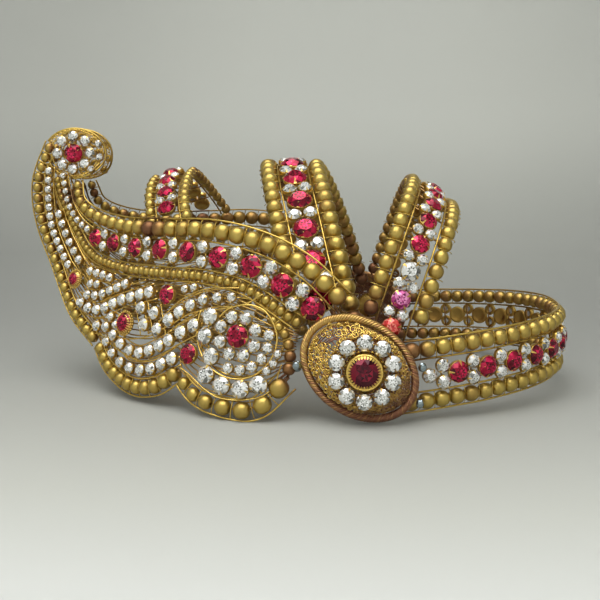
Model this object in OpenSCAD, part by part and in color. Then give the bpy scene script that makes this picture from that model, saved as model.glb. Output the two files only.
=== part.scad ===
// Theatrical crown of brass wire, strung metal beads and cup-set stones.
// Two curled wings meet above the forehead, a banded half ring goes round the back of the head,
// and three arches go over it. X is across the head, -Y is the forehead, Z is up. Millimetres.

/* [Head ring] */
// Half width of the oval that the ring follows
ring_half_width = 77.5; // [72:0.5:84]
// How far forward of the middle the oval is widest
ring_widest_at = 26; // [20:1:32]
// Back of the ring
ring_back = 116; // [110:1:124]
// Squareness of the oval, 2 being an ellipse
ring_power = 2.35; // [2:0.05:2.6]
// Slope with which the ring rises towards the back
ring_rise = 0.09; // [0.04:0.01:0.14]

/* [Rear band] */
// Height of the lower bead row beside the rosettes
band_low = 3.4; // [3.4:0.1:5]
// Distance between the band's two bead rows
band_width = 18.8; // [18.6:0.1:21]
// Diameter of the band's beads
band_bead = 6; // [5.4:0.1:6.2]
// Number of beads in each row of the band
band_beads = 35; // [32:1:35]
// Red stones from the middle of the back to each rosette, without the middle one
band_reds = 7; // [6:1:7]

/* [Wings] */
// Inward lean of the wings, as travel across over height
wing_lean = 0.33; // [0.25:0.01:0.38]
// Number of beads along the front edge
front_beads = 21; // [18:1:21]
// Number of beads along the top edge
top_beads = 26; // [24:1:28]
// Number of small beads below the red stones
small_beads = 50; // [44:1:52]

/* [Arches] */
// Height of the middle arch
middle_arch_height = 90.5; // [84:0.5:94]
// Height of the rear arch
rear_arch_height = 79.5; // [74:0.5:84]
// Height of the small front arch
front_arch_height = 86.5; // [83:0.5:90]
// Diameter of the beads on the middle arch
arch_bead = 6.8; // [5.8:0.1:7]

/* [Rosettes] */
// Length of the oval rosette
rosette_length = 45; // [40:0.5:48]
// Width of the oval rosette
rosette_width = 34.5; // [31:0.5:37]
// Tilt of the rosette's long axis, down towards the back
rosette_tilt = 34.5; // [20:0.5:45]
// Diameter of the rosette's middle stone
rosette_stone = 11; // [9:0.5:12]

/* [Wire and cups] */
// Radius of the frame wires
wire_r = 0.45; // [0.35:0.05:0.5]
// Radius of the wire that a bead row is strung on
string_r = 0.35; // [0.25:0.05:0.35]
// Wall of a stone's cup
cup_wall = 0.2; // [0.1:0.05:0.2]
// Height of a stone's cup
cup_height = 1.6; // [1.4:0.1:1.8]

/* [Hidden] */
SIDES = ["left", "right"];
WING_BITS = ["wing_frame", "wing_scrolls", "wing_edge_beads", "wing_top_beads", "wing_small_beads",
             "wing_bead_strings", "wing_red_stones", "wing_clear_stones", "wing_stone_cups"];
ROSETTE_BITS = ["rosette_frame", "rosette_rope", "rosette_filigree", "rosette_bezel",
                "rosette_middle_stone", "rosette_clear_stones", "rosette_cups", "solder_joints"];
ARCHES = ["front_arch", "middle_arch", "rear_arch"];
ARCH_BITS = ["frame", "beads", "bead_strings", "red_stones", "clear_stones", "stone_cups"];
BAND_BITS = ["rear_band_frame", "rear_band_top_beads", "rear_band_bottom_beads",
             "rear_band_bead_strings", "rear_band_red_stones", "rear_band_clear_stones",
             "rear_band_stone_cups"];
$fn = 24;

gap = 0.08;                 // clear space between pieces that are soldered or strung together
bead_hole = 0.5;            // radius of a bead's drilled hole
cup_base = wire_r + 0.1;    // height of a cup's back over the middle of the frame wires
crown_slope = 0.62;         // table of a stone over its girdle
pair_gap = 0.4;             // half the clear space between the cups of a pair of stones
string_end = 0.62;          // how far a string goes past the middle of its last bead, in pitches
WING_STEP = 20;             // spacing of the wing's plan stations along Y
WING_START = -120;          // first plan station
// Half width of the wings at each plan station, from the prow to the rosettes
WING_PLAN = [3.2, 4.2, 14, 27.5, 41, 52.5, 59.5, 63.5, 65.5, 66];
TIP_X = 4.2;                // half distance between the two curled tips
LEAN_KNEE = 62;             // height under which the wing leans
LEAN_SOFT = 6;              // how gently the lean starts
FLAT_FROM = 76;             // height at which the neck starts to flatten towards the tip
FLAT_OVER = 20;             // height over which it flattens

// The wing's drawing, in side view: [along Y, height]
FRONT_EDGE = [[-100, 100.5], [-107, 83], [-105.5, 66], [-98, 49.5], [-87, 30.5], [-73.5, 19.5]];
SCALLOP_1 = [[-71.5, 18.5], [-65.5, 11.2], [-54, 5.8], [-42, 7.5], [-31.8, 14.5]];
SCALLOP_2 = [[-31, 12], [-23.8, 6.8], [-10.5, 4], [0, 5.2], [10.2, 15]];
HEEL = [[10.2, 16.5], [10.8, 23], [9, 30], [3.4, 36]];
TOP_EDGE = [[-87.5, 84], [-85, 75], [-76, 69.3], [-60, 66], [-40, 65.8], [-20, 66], [0, 62],
            [16, 54], [29.5, 42]];
RED_ROW = [[-75, 60.5], [-55, 57.8], [-28, 57.5], [-2.5, 53], [19, 39.5]];
SMALL_ROW = [[-97.6, 86], [-95.6, 78], [-88.5, 65], [-79, 54], [-62, 49.5], [-40, 49], [-22, 49],
             [-5, 45.3], [14.5, 34]];
CURL = [-89.5, 96];         // middle of the curled tip
CURL_R = 7.2;               // radius of its ring of clear stones
SCROLL = [-8, 28.8];        // middle of the round scroll
SCROLL_R = 6.9;             // radius of its inner ring of stones
// Rows of clear stones on the wing: [path, number, first diameter, last diameter]
CLEAR_ROWS = [
    [[[-94.3, 87.8], [-92.2, 81], [-89.8, 74], [-85, 67.3], [-78.3, 63]], 9, 2.4, 2.8],
    [[[-100.6, 90.5], [-101.3, 79], [-100, 66], [-95.6, 56.5], [-88.6, 46.8]], 12, 2.9, 3.4],
    [[[-96.6, 72], [-93.6, 65], [-89, 57], [-82.5, 49]], 6, 3.3, 3.6],
    [[[-79, 46.8], [-71.5, 45.8], [-64.5, 44.4]], 4, 3.4, 3.5],
    [[[-78.2, 41.6], [-71.2, 41.6]], 2, 3.2, 3.2],
    [[[-80, 36.8], [-72.3, 37.2], [-64.5, 40.2], [-56, 44]], 6, 3.6, 3.8],
    [[[-83.5, 34.6], [-77, 31.7], [-70, 32], [-59.5, 36.8], [-43.5, 42]], 9, 4.2, 4.6],
    [[[-74, 25], [-66.5, 25.5], [-58.6, 20.3], [-49.5, 18.2], [-40.4, 21.8], [-33.5, 26]], 9, 4, 4.6],
    [[[-67.5, 22], [-62.5, 16.2], [-54.5, 12.2], [-44.4, 12.9], [-31.5, 19.6]], 8, 3.6, 4.8],
    [[[-38.3, 30.3], [-30.2, 36.1], [-21, 40.8], [-8, 42.6]], 6, 5, 3.2],
    [[[-33, 26.5], [-27.8, 29.7], [-22.6, 32.6]], 2, 5, 5],
    [[[-50.2, 38], [-46.7, 25.8]], 2, 4.8, 4.8],
    [[[-43.8, 36.6], [-40.2, 25]], 2, 4.8, 4.8],
    [[[-66.6, 29.9], [-62, 29.2], [-62, 24.8]], 2, 3.2, 2.6],
    [[[-31.5, 43.3], [-23.8, 45.2]], 2, 2.8, 2.8]];
// Clear stones round the scroll, as arcs: [radius, first angle, last angle, number, diameter]
SCROLL_ARCS = [[SCROLL_R, 20, 335, 8, 4.3], [12.4, 150, 218, 3, 6], [11.6, 5, -106, 6, 3.7],
               [18.1, -63, -129, 4, 6.2], [15.7, -20, -46, 3, 2.7]];
// Red stones set singly: [along Y, height, diameter]
SINGLE_REDS = [[-85.4, 42.7, 6.2], [-57, 28.2, 8], [-37.4, 41, 7.2], [-26.7, 21, 7.2],
               [SCROLL.x, SCROLL.y, 8], [CURL.x, CURL.y, 7.8]];

// --- Curves ------------------------------------------------------------------------------------

function clamp01(v) = min(1, max(0, v));
function ease(v) = let (c = clamp01(v)) c * c * (3 - 2 * c);
function mix(a, b, k) = a + (b - a) * k;
function unit(v) = v / norm(v);

// Smooth curve through the points p, at place t from 0 to len(p) - 1
function spline(p, t) =
    let (last = len(p) - 1,
         i = min(last - 1, max(0, floor(t))),
         u = t - i,
         b = p[i],
         c = p[i + 1],
         a = i > 0 ? p[i - 1] : 2 * b - c,
         d = i < last - 1 ? p[i + 2] : 2 * c - b)
    0.5 * (2 * b + (c - a) * u + (2 * a - 5 * b + 4 * c - d) * u * u
           + (3 * b - a - 3 * c + d) * u * u * u);

function sampled(p, steps) = [for (i = [0:steps]) spline(p, i * (len(p) - 1) / steps)];

// Distance run along the points q, at each of them
function runs(q) = [for (i = 0, s = 0; i < len(q); s = s + (i < len(q) - 1 ? norm(q[i + 1] - q[i]) : 0),
                         i = i + 1) s];

// The point at distance s along the points q, whose runs are r
function at_run(q, r, s) =
    [for (k = [0:len(q[0]) - 1]) lookup(s, [for (i = [0:len(q) - 1]) [r[i], q[i][k]]])];

// Size at the share u of a row whose size is [first pitch, last pitch, fatness, share at which
// the last pitch is reached]. A bead's fatness is its diameter over its pitch.
function pitch_at(size, u) = mix(size[0], size[1], min(1, u / size[3]));

// Beads strung close together that fill the path q: [place, direction, pitch, diameter]
function bead_places(q, count, size) =
    let (r = runs(q),
         total = r[len(r) - 1],
         raw = [for (i = [0:count - 1]) pitch_at(size, i / (count - 1))],
         sums = [for (i = 0, s = 0; i < count; s = s + raw[i], i = i + 1) s + raw[i] / 2],
         k = total / (raw[count - 1] / 2 + sums[count - 1]))
    [for (i = [0:count - 1])
        let (s = sums[i] * k,
             ahead = at_run(q, r, min(total, s + 0.3)),
             behind = at_run(q, r, max(0, s - 0.3)))
        [at_run(q, r, s), unit(ahead - behind), raw[i] * k, raw[i] * k * size[2]]];

// The same for beads that all have the diameter d
function even_beads(q, count, d) =
    let (r = runs(q), pitch = r[len(r) - 1] / count)
    bead_places(q, count, [pitch, pitch, d / pitch, 1]);

// Points evenly along the path q, half a step in from each end
function spaced(q, count) =
    let (r = runs(q), total = r[len(r) - 1])
    [for (i = [0:count - 1]) at_run(q, r, total * (i + 0.5) / count)];

// The drawn line q moved clear of a row of beads of that size along it: side 1 is its left
function beside(q, size, side) =
    [for (i = [0:len(q) - 1])
        let (t = unit(q[min(i + 1, len(q) - 1)] - q[max(i - 1, 0)]),
             away = pitch_at(size, i / (len(q) - 1)) * size[2] / 2 + wire_r + gap)
        q[i] + side * away * [-t.y, t.x]];

function arc_points(middle, r, from, to, steps) =
    [for (i = [0:steps]) let (a = mix(from, to, i / steps)) middle + r * [cos(a), sin(a)]];

// --- The wing's curved surface -----------------------------------------------------------------

function lean_at(y) = wing_lean - 0.1 * clamp01((y + 20) / 40);

function wing_x(y, z) =
    let (plan = spline(WING_PLAN, (y - WING_START) / WING_STEP),
         flat = TIP_X + (plan - TIP_X) * (1 - ease((z - FLAT_FROM) / FLAT_OVER)))
    flat + lean_at(y) * LEAN_SOFT * ln(1 + exp((LEAN_KNEE - z) / LEAN_SOFT));

function wing_normal(q) =
    let (e = 0.5,
         along = (wing_x(q.x + e, q.y) - wing_x(q.x - e, q.y)) / (2 * e),
         up = (wing_x(q.x, q.y + e) - wing_x(q.x, q.y - e)) / (2 * e))
    unit([1, -along, -up]);

// The drawing's point q on the surface, raised by h
function on_wing(q, h = 0) = [wing_x(q.x, q.y), q.x, q.y] + h * wing_normal(q);
function path_on_wing(q, h = 0) = [for (p = q) on_wing(p, h)];

// --- Common pieces -----------------------------------------------------------------------------

module facing(direction) {
    rotate([0, acos(direction.z), atan2(direction.y, direction.x)]) children();
}

// A wire along the points p, with flat-sided section; side is a direction that it never follows
module wire(p, r, side, sides = 5) {
    last = len(p) - 1;
    dirs = [for (i = [0:last]) unit(p[min(i + 1, last)] - p[max(i - 1, 0)])];
    across = [for (i = [0:last]) unit(cross(dirs[i], side))];
    points = [for (i = [0:last]) for (k = [0:sides - 1])
        let (a = 360 * k / sides)
        p[i] + r * (cos(a) * across[i] + sin(a) * cross(dirs[i], across[i]))];
    skin = [for (i = [0:last - 1]) for (k = [0:sides - 1])
        let (n = (k + 1) % sides)
        [i * sides + k, (i + 1) * sides + k, (i + 1) * sides + n, i * sides + n]];
    ends = [[for (k = [0:sides - 1]) k], [for (k = [sides - 1:-1:0]) last * sides + k]];
    polyhedron(points, concat(skin, ends));
}

// A turned bead with a drilled hole, flattened where it meets the next one
BEAD_ANGLES = [-66, -38, -13, 13, 38, 66];
BEAD_LENGTH = 0.94;         // share of its place in the row that a bead fills, so bent rows stay apart
module bead(place) {
    r = place[3] / 2;
    half = BEAD_LENGTH * min(place[2] - gap, place[3]) / 2;
    rim = [for (a = BEAD_ANGLES) [r * cos(a) / cos(BEAD_ANGLES[3]), half * sin(a) / sin(BEAD_ANGLES[5])]];
    translate(place[0]) facing(place[1])
        rotate_extrude() polygon(concat([[bead_hole, -half]], rim, [[bead_hole, half]]));
}

module beads(places, tint) {
    color(tint) for (p = places) bead(p);
}

// The wire through a row of beads, from just before the first to just after the last
module string_through(places, side) {
    first = places[0];
    last = places[len(places) - 1];
    wire(concat([first[0] - first[1] * first[2] * string_end], [for (p = places) p[0]],
                [last[0] + last[1] * last[2] * string_end]), string_r, side, 4);
}

// A cut stone and its cup stand on the surface at: [place, outward direction, diameter]
module stone(at) {
    r = at[2] / 2;
    girdle = cup_height + 0.05;
    table = girdle + 0.36 * r + 0.5;
    outline = [[0, 0.45], [0.5 * r, 0.45], [r, girdle], [crown_slope * r, table], [0, table]];
    translate(at[0] + at[1] * cup_base) facing(at[1]) rotate_extrude() polygon(outline);
}

module cup(at) {
    r = at[2] / 2;
    outline = [[0, 0], [r + cup_wall, 0], [r + cup_wall, cup_height], [r + 0.05, cup_height],
               [0.55 * r, 0.4], [0, 0.4]];
    translate(at[0] + at[1] * cup_base) facing(at[1]) rotate_extrude() polygon(outline);
}

module stones(places, tint) {
    color(tint) for (p = places) stone(p);
}

module cups(places) {
    color("goldenrod") for (p = places) cup(p);
}

module on_side(s) {
    mirror([s == "left" ? 0 : 1, 0, 0]) children();
}

// --- Wings -------------------------------------------------------------------------------------

// Size of each row's beads: [first pitch, last pitch, fatness, share of the row that it grows over]
FRONT_BEAD = [4.5, 5.1, 0.92, 1];
SCALLOP_1_BEAD = [4.7, 5.3, 1.12, 1];
SCALLOP_2_BEAD = [5.8, 8.6, 0.83, 1];
HEEL_BEAD = [4.6, 3, 1.03, 1];
TOP_BEAD = [3.9, 7, 1.02, 0.45];
SMALL_BEAD = [2.6, 3.5, 1.2, 1];
SMOOTH = 40;                // steps in a path before beads are spaced on it

function drawn(p) = sampled(p, SMOOTH);
function row_on_wing(p, count, size) = bead_places(path_on_wing(drawn(p)), count, size);
function wing_front() = row_on_wing(FRONT_EDGE, front_beads, FRONT_BEAD);
function wing_scallop_1() = row_on_wing(SCALLOP_1, 11, SCALLOP_1_BEAD);
function wing_scallop_2() = row_on_wing(SCALLOP_2, 7, SCALLOP_2_BEAD);
function wing_heel() = row_on_wing(HEEL, 6, HEEL_BEAD);
function wing_top_row() = row_on_wing(TOP_EDGE, top_beads, TOP_BEAD);
function wing_small_row() = row_on_wing(SMALL_ROW, small_beads, SMALL_BEAD);

function set_on_wing(q, d) = [on_wing(q), wing_normal(q), d];

RED_COUNT = 9;
RED_SIZE = [7, 8.4];
PAIR_SIZE = [3.8, 4.8];
RED_CROWDING = 1.1;         // above 1, the red stones stand closer together towards the prow
function red_row_points(count, shift) =
    let (q = drawn(RED_ROW), r = runs(q), total = r[len(r) - 1])
    [for (i = [0:count - 1]) at_run(q, r, total * pow((i + shift) / (RED_COUNT - 1), RED_CROWDING))];
function wing_reds() = concat(
    [for (i = [0:RED_COUNT - 1])
        set_on_wing(red_row_points(RED_COUNT, 0)[i], mix(RED_SIZE[0], RED_SIZE[1], i / (RED_COUNT - 1)))],
    [for (s = SINGLE_REDS) set_on_wing([s.x, s.y], s.z)]);

// Clear stones stand in pairs between the red ones of a row
function wing_pairs() =
    let (mid = red_row_points(RED_COUNT - 1, 0.5), low = red_row_points(RED_COUNT - 1, 0.42),
         high = red_row_points(RED_COUNT - 1, 0.58))
    [for (i = [0:RED_COUNT - 2]) for (k = [-1, 1])
        let (t = unit(high[i] - low[i]), d = mix(PAIR_SIZE[0], PAIR_SIZE[1], i / (RED_COUNT - 2)))
        set_on_wing(mid[i] + k * (d / 2 + cup_wall + pair_gap) * [-t.y, t.x], d)];

function clear_row(row) =
    let (q = spaced(drawn(row[0]), row[1]))
    [for (i = [0:row[1] - 1]) set_on_wing(q[i], mix(row[2], row[3], i / (row[1] - 1)))];

function scroll_arc(a) =
    [for (q = arc_points(SCROLL, a[0], a[1], a[2], a[3] - 1)) set_on_wing(q, a[4])];

function curl_ring() = concat(
    [for (q = arc_points(CURL, CURL_R, 0, 315, 7)) set_on_wing(q, 4.2)],
    [for (q = arc_points(CURL, 11.6, 20, -42, 2)) set_on_wing(q, 2.8)]);

function wing_clears() = concat(wing_pairs(), curl_ring(),
    [for (row = CLEAR_ROWS) each clear_row(row)],
    [for (a = SCROLL_ARCS) each scroll_arc(a)]);

// Wires on both sides of a row of beads, clear of them
module flanked(p, size, steps) {
    q = sampled(p, steps);
    for (side = [-1, 1]) wire(path_on_wing(beside(q, size, side)), wire_r, [1, -0.4, 0.3]);
}

// Short wires that tie one frame wire to the next, between the stones
module cross_tie(a, b) {
    translate((a + b) / 2) facing(unit(b - a))
        cylinder(r = wire_r * 0.8, h = norm(b - a), center = true, $fn = 16);
}

module red_row_ties() {
    mids = red_row_points(RED_COUNT - 1, 0.5);
    ahead = red_row_points(RED_COUNT - 1, 0.55);
    for (i = [0:RED_COUNT - 2]) {
        t = unit(ahead[i] - mids[i]);
        reach = mix(2.5, 3.1, i / (RED_COUNT - 2));
        cross_tie(on_wing(mids[i] + reach * [-t.y, t.x]), on_wing(mids[i] - reach * [-t.y, t.x]));
    }
}

module wing_frame() {
    color("darkgoldenrod") {
        flanked(FRONT_EDGE, FRONT_BEAD, 16);
        flanked(SCALLOP_1, SCALLOP_1_BEAD, 10);
        flanked(SCALLOP_2, SCALLOP_2_BEAD, 12);
        flanked(TOP_EDGE, TOP_BEAD, 20);
        flanked(SMALL_ROW, SMALL_BEAD, 22);
        wire(path_on_wing([for (q = arc_points([0, 0], 1, 150, -95, 14))
            CURL + [q.x * 13.6, q.y * 10.8]]), wire_r, [1, -0.1, 0.1]);
    }
}

// Wires that the stones' cups are soldered to, and the scroll's outline behind them
module wing_scrolls() {
    r = 0.35;
    color("gold") {
        red_row_ties();
        for (row = CLEAR_ROWS) wire(path_on_wing(sampled(row[0], row[1])), r, [1, -0.4, 0.3], 4);
        for (a = SCROLL_ARCS) if (a[0] != SCROLL_R)
            wire(path_on_wing(arc_points(SCROLL, a[0], a[1], a[2], a[3] + 1)), r, [1, -0.2, 0.2], 4);
        wire(path_on_wing(arc_points(SCROLL, SCROLL_R, 20, 335, 12)), r, [1, -0.2, 0.2], 4);
        wire(path_on_wing(arc_points(CURL, CURL_R, 0, 315, 12)), r, [1, -0.2, 0.2], 4);
        wire(path_on_wing([for (q = arc_points([0, 0], 1, 95, -215, 18))
            SCROLL + [q.x * 16.3, q.y * 13.8]], -1.3), wire_r, [1, -0.2, 0.2], 4);
    }
}

module wing_bead_strings() {
    color("peru") for (row = [wing_front(), wing_scallop_1(), wing_scallop_2(), wing_heel(),
                              wing_top_row(), wing_small_row()])
        string_through(row, [1, -0.4, 0.3]);
}

module wing_bit(bit) {
    if (bit == "wing_frame") wing_frame();
    if (bit == "wing_scrolls") wing_scrolls();
    if (bit == "wing_edge_beads")
        beads(concat(wing_front(), wing_scallop_1(), wing_scallop_2(), wing_heel()), "darkkhaki");
    if (bit == "wing_top_beads") beads(wing_top_row(), "darkkhaki");
    if (bit == "wing_small_beads") beads(wing_small_row(), "goldenrod");
    if (bit == "wing_bead_strings") wing_bead_strings();
    if (bit == "wing_red_stones") stones(wing_reds(), "crimson");
    if (bit == "wing_clear_stones") stones(wing_clears(), "whitesmoke");
    if (bit == "wing_stone_cups") cups(concat(wing_reds(), wing_clears()));
}

// --- Ribbons: the rear band and the arches ------------------------------------------------------
// A ribbon is a row of stones between two rows of beads. middle, low and high are its three lines.

RIBBON_STEPS = 60;

function ring_point(t, z) =
    let (x = pow(abs(sin(t)), 2 / ring_power), y = pow(cos(t), 2 / ring_power),
         along = -ring_widest_at + (ring_back + ring_widest_at) * y)
    [sign(t) * ring_half_width * x, along, z + ring_rise * (along - 22)];

BAND_END = 61;              // angle on the oval at which the band meets the rosettes
function band_line(z, steps = RIBBON_STEPS) =
    [for (i = [0:steps]) ring_point(mix(BAND_END, -BAND_END, i / steps), z)];

// Outward direction of a ribbon at each point: square to its line and to its width
function outward(q, i, width, centre) =
    let (t = unit(q[min(i + 1, len(q) - 1)] - q[max(i - 1, 0)]), n = unit(cross(t, width)))
    n * (q[i] - centre) < 0 ? -n : n;

// [place, outward direction, along direction] at distance s from the middle of the line q
function ribbon_at(q, s, width, centre) =
    let (r = runs(q), half = r[len(r) - 1] / 2, e = 0.5,
         a = at_run(q, r, half + s - e), b = at_run(q, r, half + s + e), p = at_run(q, r, half + s),
         t = unit(b - a), n = unit(cross(t, width)))
    [p, n * (p - centre) < 0 ? -n : n, t];

// Stones along a ribbon: singly at the places s, or in pairs across it
function ribbon_singles(q, width, centre, places, d) =
    [for (s = places) let (f = ribbon_at(q, s, width, centre)) [f[0], f[1], d]];
function ribbon_pairs(q, width, centre, places, d) =
    [for (s = places) for (side = [-1, 1])
        let (f = ribbon_at(q, s, width, centre), w = unit(width - (width * f[2]) * f[2]))
        [f[0] + side * (d / 2 + cup_wall + pair_gap) * w, f[1], d]];

// Ties that join the two inner wires behind each pair of clear stones
module ribbon_ties(q, width, centre, places, reach) {
    for (s = places) {
        f = ribbon_at(q, s, width, centre);
        w = unit(width - (width * f[2]) * f[2]);
        cross_tie(f[0] - w * reach, f[0] + w * reach);
    }
}

UP = [0, 0, 1];
BAND_CENTRE = [0, 0, 12];
band_red = 7.6;             // diameters of the band's stones
band_clear = 4.8;
band_pitch = 11.9;          // from one red stone to the next
band_end_clear = 7.93;      // place of the last single clear stone, in pitches from the middle
band_middle = band_low + band_width / 2;
BAND_PAIRS = [for (k = [-band_reds - 1:band_reds]) (k + 0.5) * band_pitch];
function band_reds_at() = ribbon_singles(band_line(band_middle), UP, BAND_CENTRE,
    [for (k = [-band_reds:band_reds]) k * band_pitch], band_red);
function band_clears_at() = concat(
    ribbon_pairs(band_line(band_middle), UP, BAND_CENTRE, BAND_PAIRS, band_clear),
    ribbon_singles(band_line(band_middle), UP, BAND_CENTRE,
                   [for (k = [-1, 1]) k * (band_reds - 7 + band_end_clear) * band_pitch], band_clear));
function band_row(z) = even_beads(band_line(z), band_beads, band_bead);
band_wire_off = band_bead / 2 + wire_r + gap;

module rear_band_frame() {
    color("darkgoldenrod") for (z = [band_low, band_low + band_width]) for (side = [-1, 1])
        wire(band_line(z + side * band_wire_off, 26), wire_r, UP);
}

module band_bit(bit) {
    if (bit == "rear_band_frame") rear_band_frame();
    if (bit == "rear_band_top_beads") beads(band_row(band_low + band_width), "goldenrod");
    if (bit == "rear_band_bottom_beads") beads(band_row(band_low), "goldenrod");
    if (bit == "rear_band_bead_strings") color("peru") {
        string_through(band_row(band_low), UP);
        string_through(band_row(band_low + band_width), UP);
        ribbon_ties(band_line(band_middle), UP, BAND_CENTRE, BAND_PAIRS,
                    band_width / 2 - band_wire_off - wire_r - gap);
    }
    if (bit == "rear_band_red_stones") stones(band_reds_at(), "crimson");
    if (bit == "rear_band_clear_stones") stones(band_clears_at(), "whitesmoke");
    if (bit == "rear_band_stone_cups") cups(concat(band_reds_at(), band_clears_at()));
}

// An arch's shape: [half span, foot height, top height, squareness, foot Y, top Y, sweep power,
//                   ribbon width, ribbon tilt, angle from the top at which its wires end,
//                   growth of the half span towards the back over the ribbon's width]
FRONT_ARCH = [38.6, 64.4, front_arch_height, 1.45, -38.6, -47, 1.2, 16.8, -11, 76, 0.75];
MIDDLE_ARCH = [70, 10, middle_arch_height, 1.67, 29.4, 4.3, 0.81, 20.4, 0, 70, 0];
REAR_ARCH = [66.3, 20, rear_arch_height, 3.4, 42, 62.7, 0.9, 18.5, 33.5, 89, 0];
// An arch's stones and beads: [bead diameter, beads in the front and the back row,
//                              red stones each side of the top, their pitch,
//                              red diameter, clear diameter,
//                              angles at which the front and the back row of beads end]
FRONT_SET = [4.4, [15, 19], 4, 10.3, 6.8, 3.7, [76, 76]];
MIDDLE_SET = [arch_bead, [30, 30], 6, 15.1, 9.4, 5, [70, 70]];
REAR_SET = [5.5, [35, 32], 10, 10.2, 6.6, 3.8, [86, 81.5]];

function arch_width(a) = [0, cos(a[8]), -sin(a[8])];
function arch_point(a, t, shift) =
    let (c = pow(cos(t), 2 / a[3]),
         x = (a[0] + a[10] * shift) * pow(abs(sin(t)), 2 / a[3]) * sign(t))
    [x, a[5] + (a[4] - a[5]) * pow(1 - c, a[6]), a[1] + (a[2] - a[1]) * c] + shift * arch_width(a);
function arch_line(a, shift, end, steps = RIBBON_STEPS) =
    [for (i = [0:steps]) arch_point(a, mix(end, -end, i / steps), shift)];
function arch_middle(a) = arch_line(a, 0, a[9]);
function arch_centre(a) = [0, (a[4] + a[5]) / 2, 20];
function arch_row(a, s, side) =
    let (k = side < 0 ? 0 : 1)
    even_beads(arch_line(a, side * a[7] / 2, s[6][k]), s[1][k], s[0]);
// Red stones stand half a pitch each side of the top, and pairs of clear ones between them
function arch_reds(a, s) = ribbon_singles(arch_middle(a), arch_width(a), arch_centre(a),
    [for (k = [-s[2]:s[2] - 1]) (k + 0.5) * s[3]], s[4]);
function arch_pair_places(s) = [for (k = [1 - s[2]:s[2] - 1]) k * s[3]];
function arch_pairs(a, s) =
    ribbon_pairs(arch_middle(a), arch_width(a), arch_centre(a), arch_pair_places(s), s[5]);

module arch_bit(a, s, bit) {
    away = a[7] / 2 - s[0] / 2 - wire_r - gap;
    if (bit == "frame") color("darkgoldenrod")
        for (side = [-1, 1]) wire(arch_line(a, side * away, a[9], 24), wire_r, [0, 1, 0]);
    if (bit == "beads") beads(concat(arch_row(a, s, -1), arch_row(a, s, 1)), "darkkhaki");
    if (bit == "bead_strings") color("peru") {
        for (side = [-1, 1]) string_through(arch_row(a, s, side), [0, 1, 0]);
        ribbon_ties(arch_middle(a), arch_width(a), arch_centre(a), arch_pair_places(s),
                    away - wire_r - gap);
    }
    if (bit == "red_stones") stones(arch_reds(a, s), "crimson");
    if (bit == "clear_stones") stones(arch_pairs(a, s), "whitesmoke");
    if (bit == "stone_cups") cups(concat(arch_reds(a, s), arch_pairs(a, s)));
}

// --- Rosettes ----------------------------------------------------------------------------------

ROSETTE = [73.2, 35.3, 19.6];       // middle of the rosette's rim
ROSETTE_LEAN = 6;                   // inward lean of the rosette
ROPE_R = 1.5;
DOME = 5;                           // rise of the middle over the rim
ROSETTE_RING = 10.2;                // radius of the ring of clear stones
ROSETTE_CLEAR = 5.4;                // their diameter
ROSETTE_OFF = [2, -0.8];            // its middle, from the middle of the rim
RIB_COUNT = 14;

// Places on the rosette are [along Y, up, out], and its middle is at the rim's middle
module on_rosette() {
    translate(ROSETTE) rotate([0, -ROSETTE_LEAN, 0]) rotate([90, 0, 90]) children();
}

// Point of the tilted oval at angle a, drawn in by inset
function oval(a, inset) =
    let (u = (rosette_length / 2 - inset) * cos(a), v = (rosette_width / 2 - inset) * sin(a))
    [u * cos(rosette_tilt) + v * sin(rosette_tilt), -u * sin(rosette_tilt) + v * cos(rosette_tilt)];
function oval_outline(inset) = [for (i = [0:47]) oval(i * 7.5, inset)];

module oval_ring(outer, inner, thick) {
    linear_extrude(thick) difference() {
        polygon(oval_outline(outer));
        polygon(oval_outline(inner));
    }
}

function rosette_inner(a, r) = ROSETTE_OFF + r * [cos(a), sin(a)];

module rosette_frame() {
    color("peru") on_rosette() {
        translate([0, 0, -0.4]) oval_ring(ROPE_R * 2 + gap, ROPE_R * 2 + 1.4, 0.8);
        translate([ROSETTE_OFF.x, ROSETTE_OFF.y, DOME - 1.4]) difference() {
            cylinder(r = ROSETTE_RING + 2.6, h = 0.8, $fn = 48);
            translate([0, 0, -1]) cylinder(r = ROSETTE_RING - 3.4, h = 3, $fn = 48);
        }
    }
}

module rosette_rope() {
    color("peru") on_rosette()
        wire([for (i = [0:36]) let (q = oval(i * 9.8, ROPE_R)) [q.x, q.y, 0]], ROPE_R, [0, 0, 1], 7);
}

// Straight ribs from the rim to the ring of stones, and curled wire that lies over them
CURLS = 12;
CURL_WIRE = [1.9, 0.3];             // radius of a curl and of its wire
module rosette_filigree() {
    color("gold") on_rosette() {
        for (i = [0:RIB_COUNT - 1]) {
            rim = oval(360 * i / RIB_COUNT, ROPE_R * 2 + 0.9);
            toward = rosette_inner(atan2(rim.y, rim.x), ROSETTE_RING + 3.2);
            if (norm(rim - toward) > 1)
                cross_tie([rim.x, rim.y, 0.85], [toward.x, toward.y, DOME - 1]);
        }
        for (i = [0:CURLS - 1]) {
            a = 360 * (i + 0.5) / CURLS;
            rim = oval(a, ROPE_R * 2 + 2.2);
            translate([rim.x, rim.y, 2.6]) rotate([0, 0, a]) rotate_extrude($fn = 32)
                translate([CURL_WIRE[0], 0]) circle(r = CURL_WIRE[1], $fn = 16);
        }
    }
}

module rosette_bezel() {
    r = rosette_stone / 2;
    outline = [[0, 0], [r + 0.8, 0], [r + 0.5, 2.6], [r + 0.1, 2.6], [r + 0.1, 1.6], [r / 2, 0.6],
               [0, 0.6]];
    color("goldenrod") on_rosette() translate([ROSETTE_OFF.x, ROSETTE_OFF.y, DOME - 0.5])
        rotate_extrude($fn = 48) polygon(outline);
}

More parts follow.
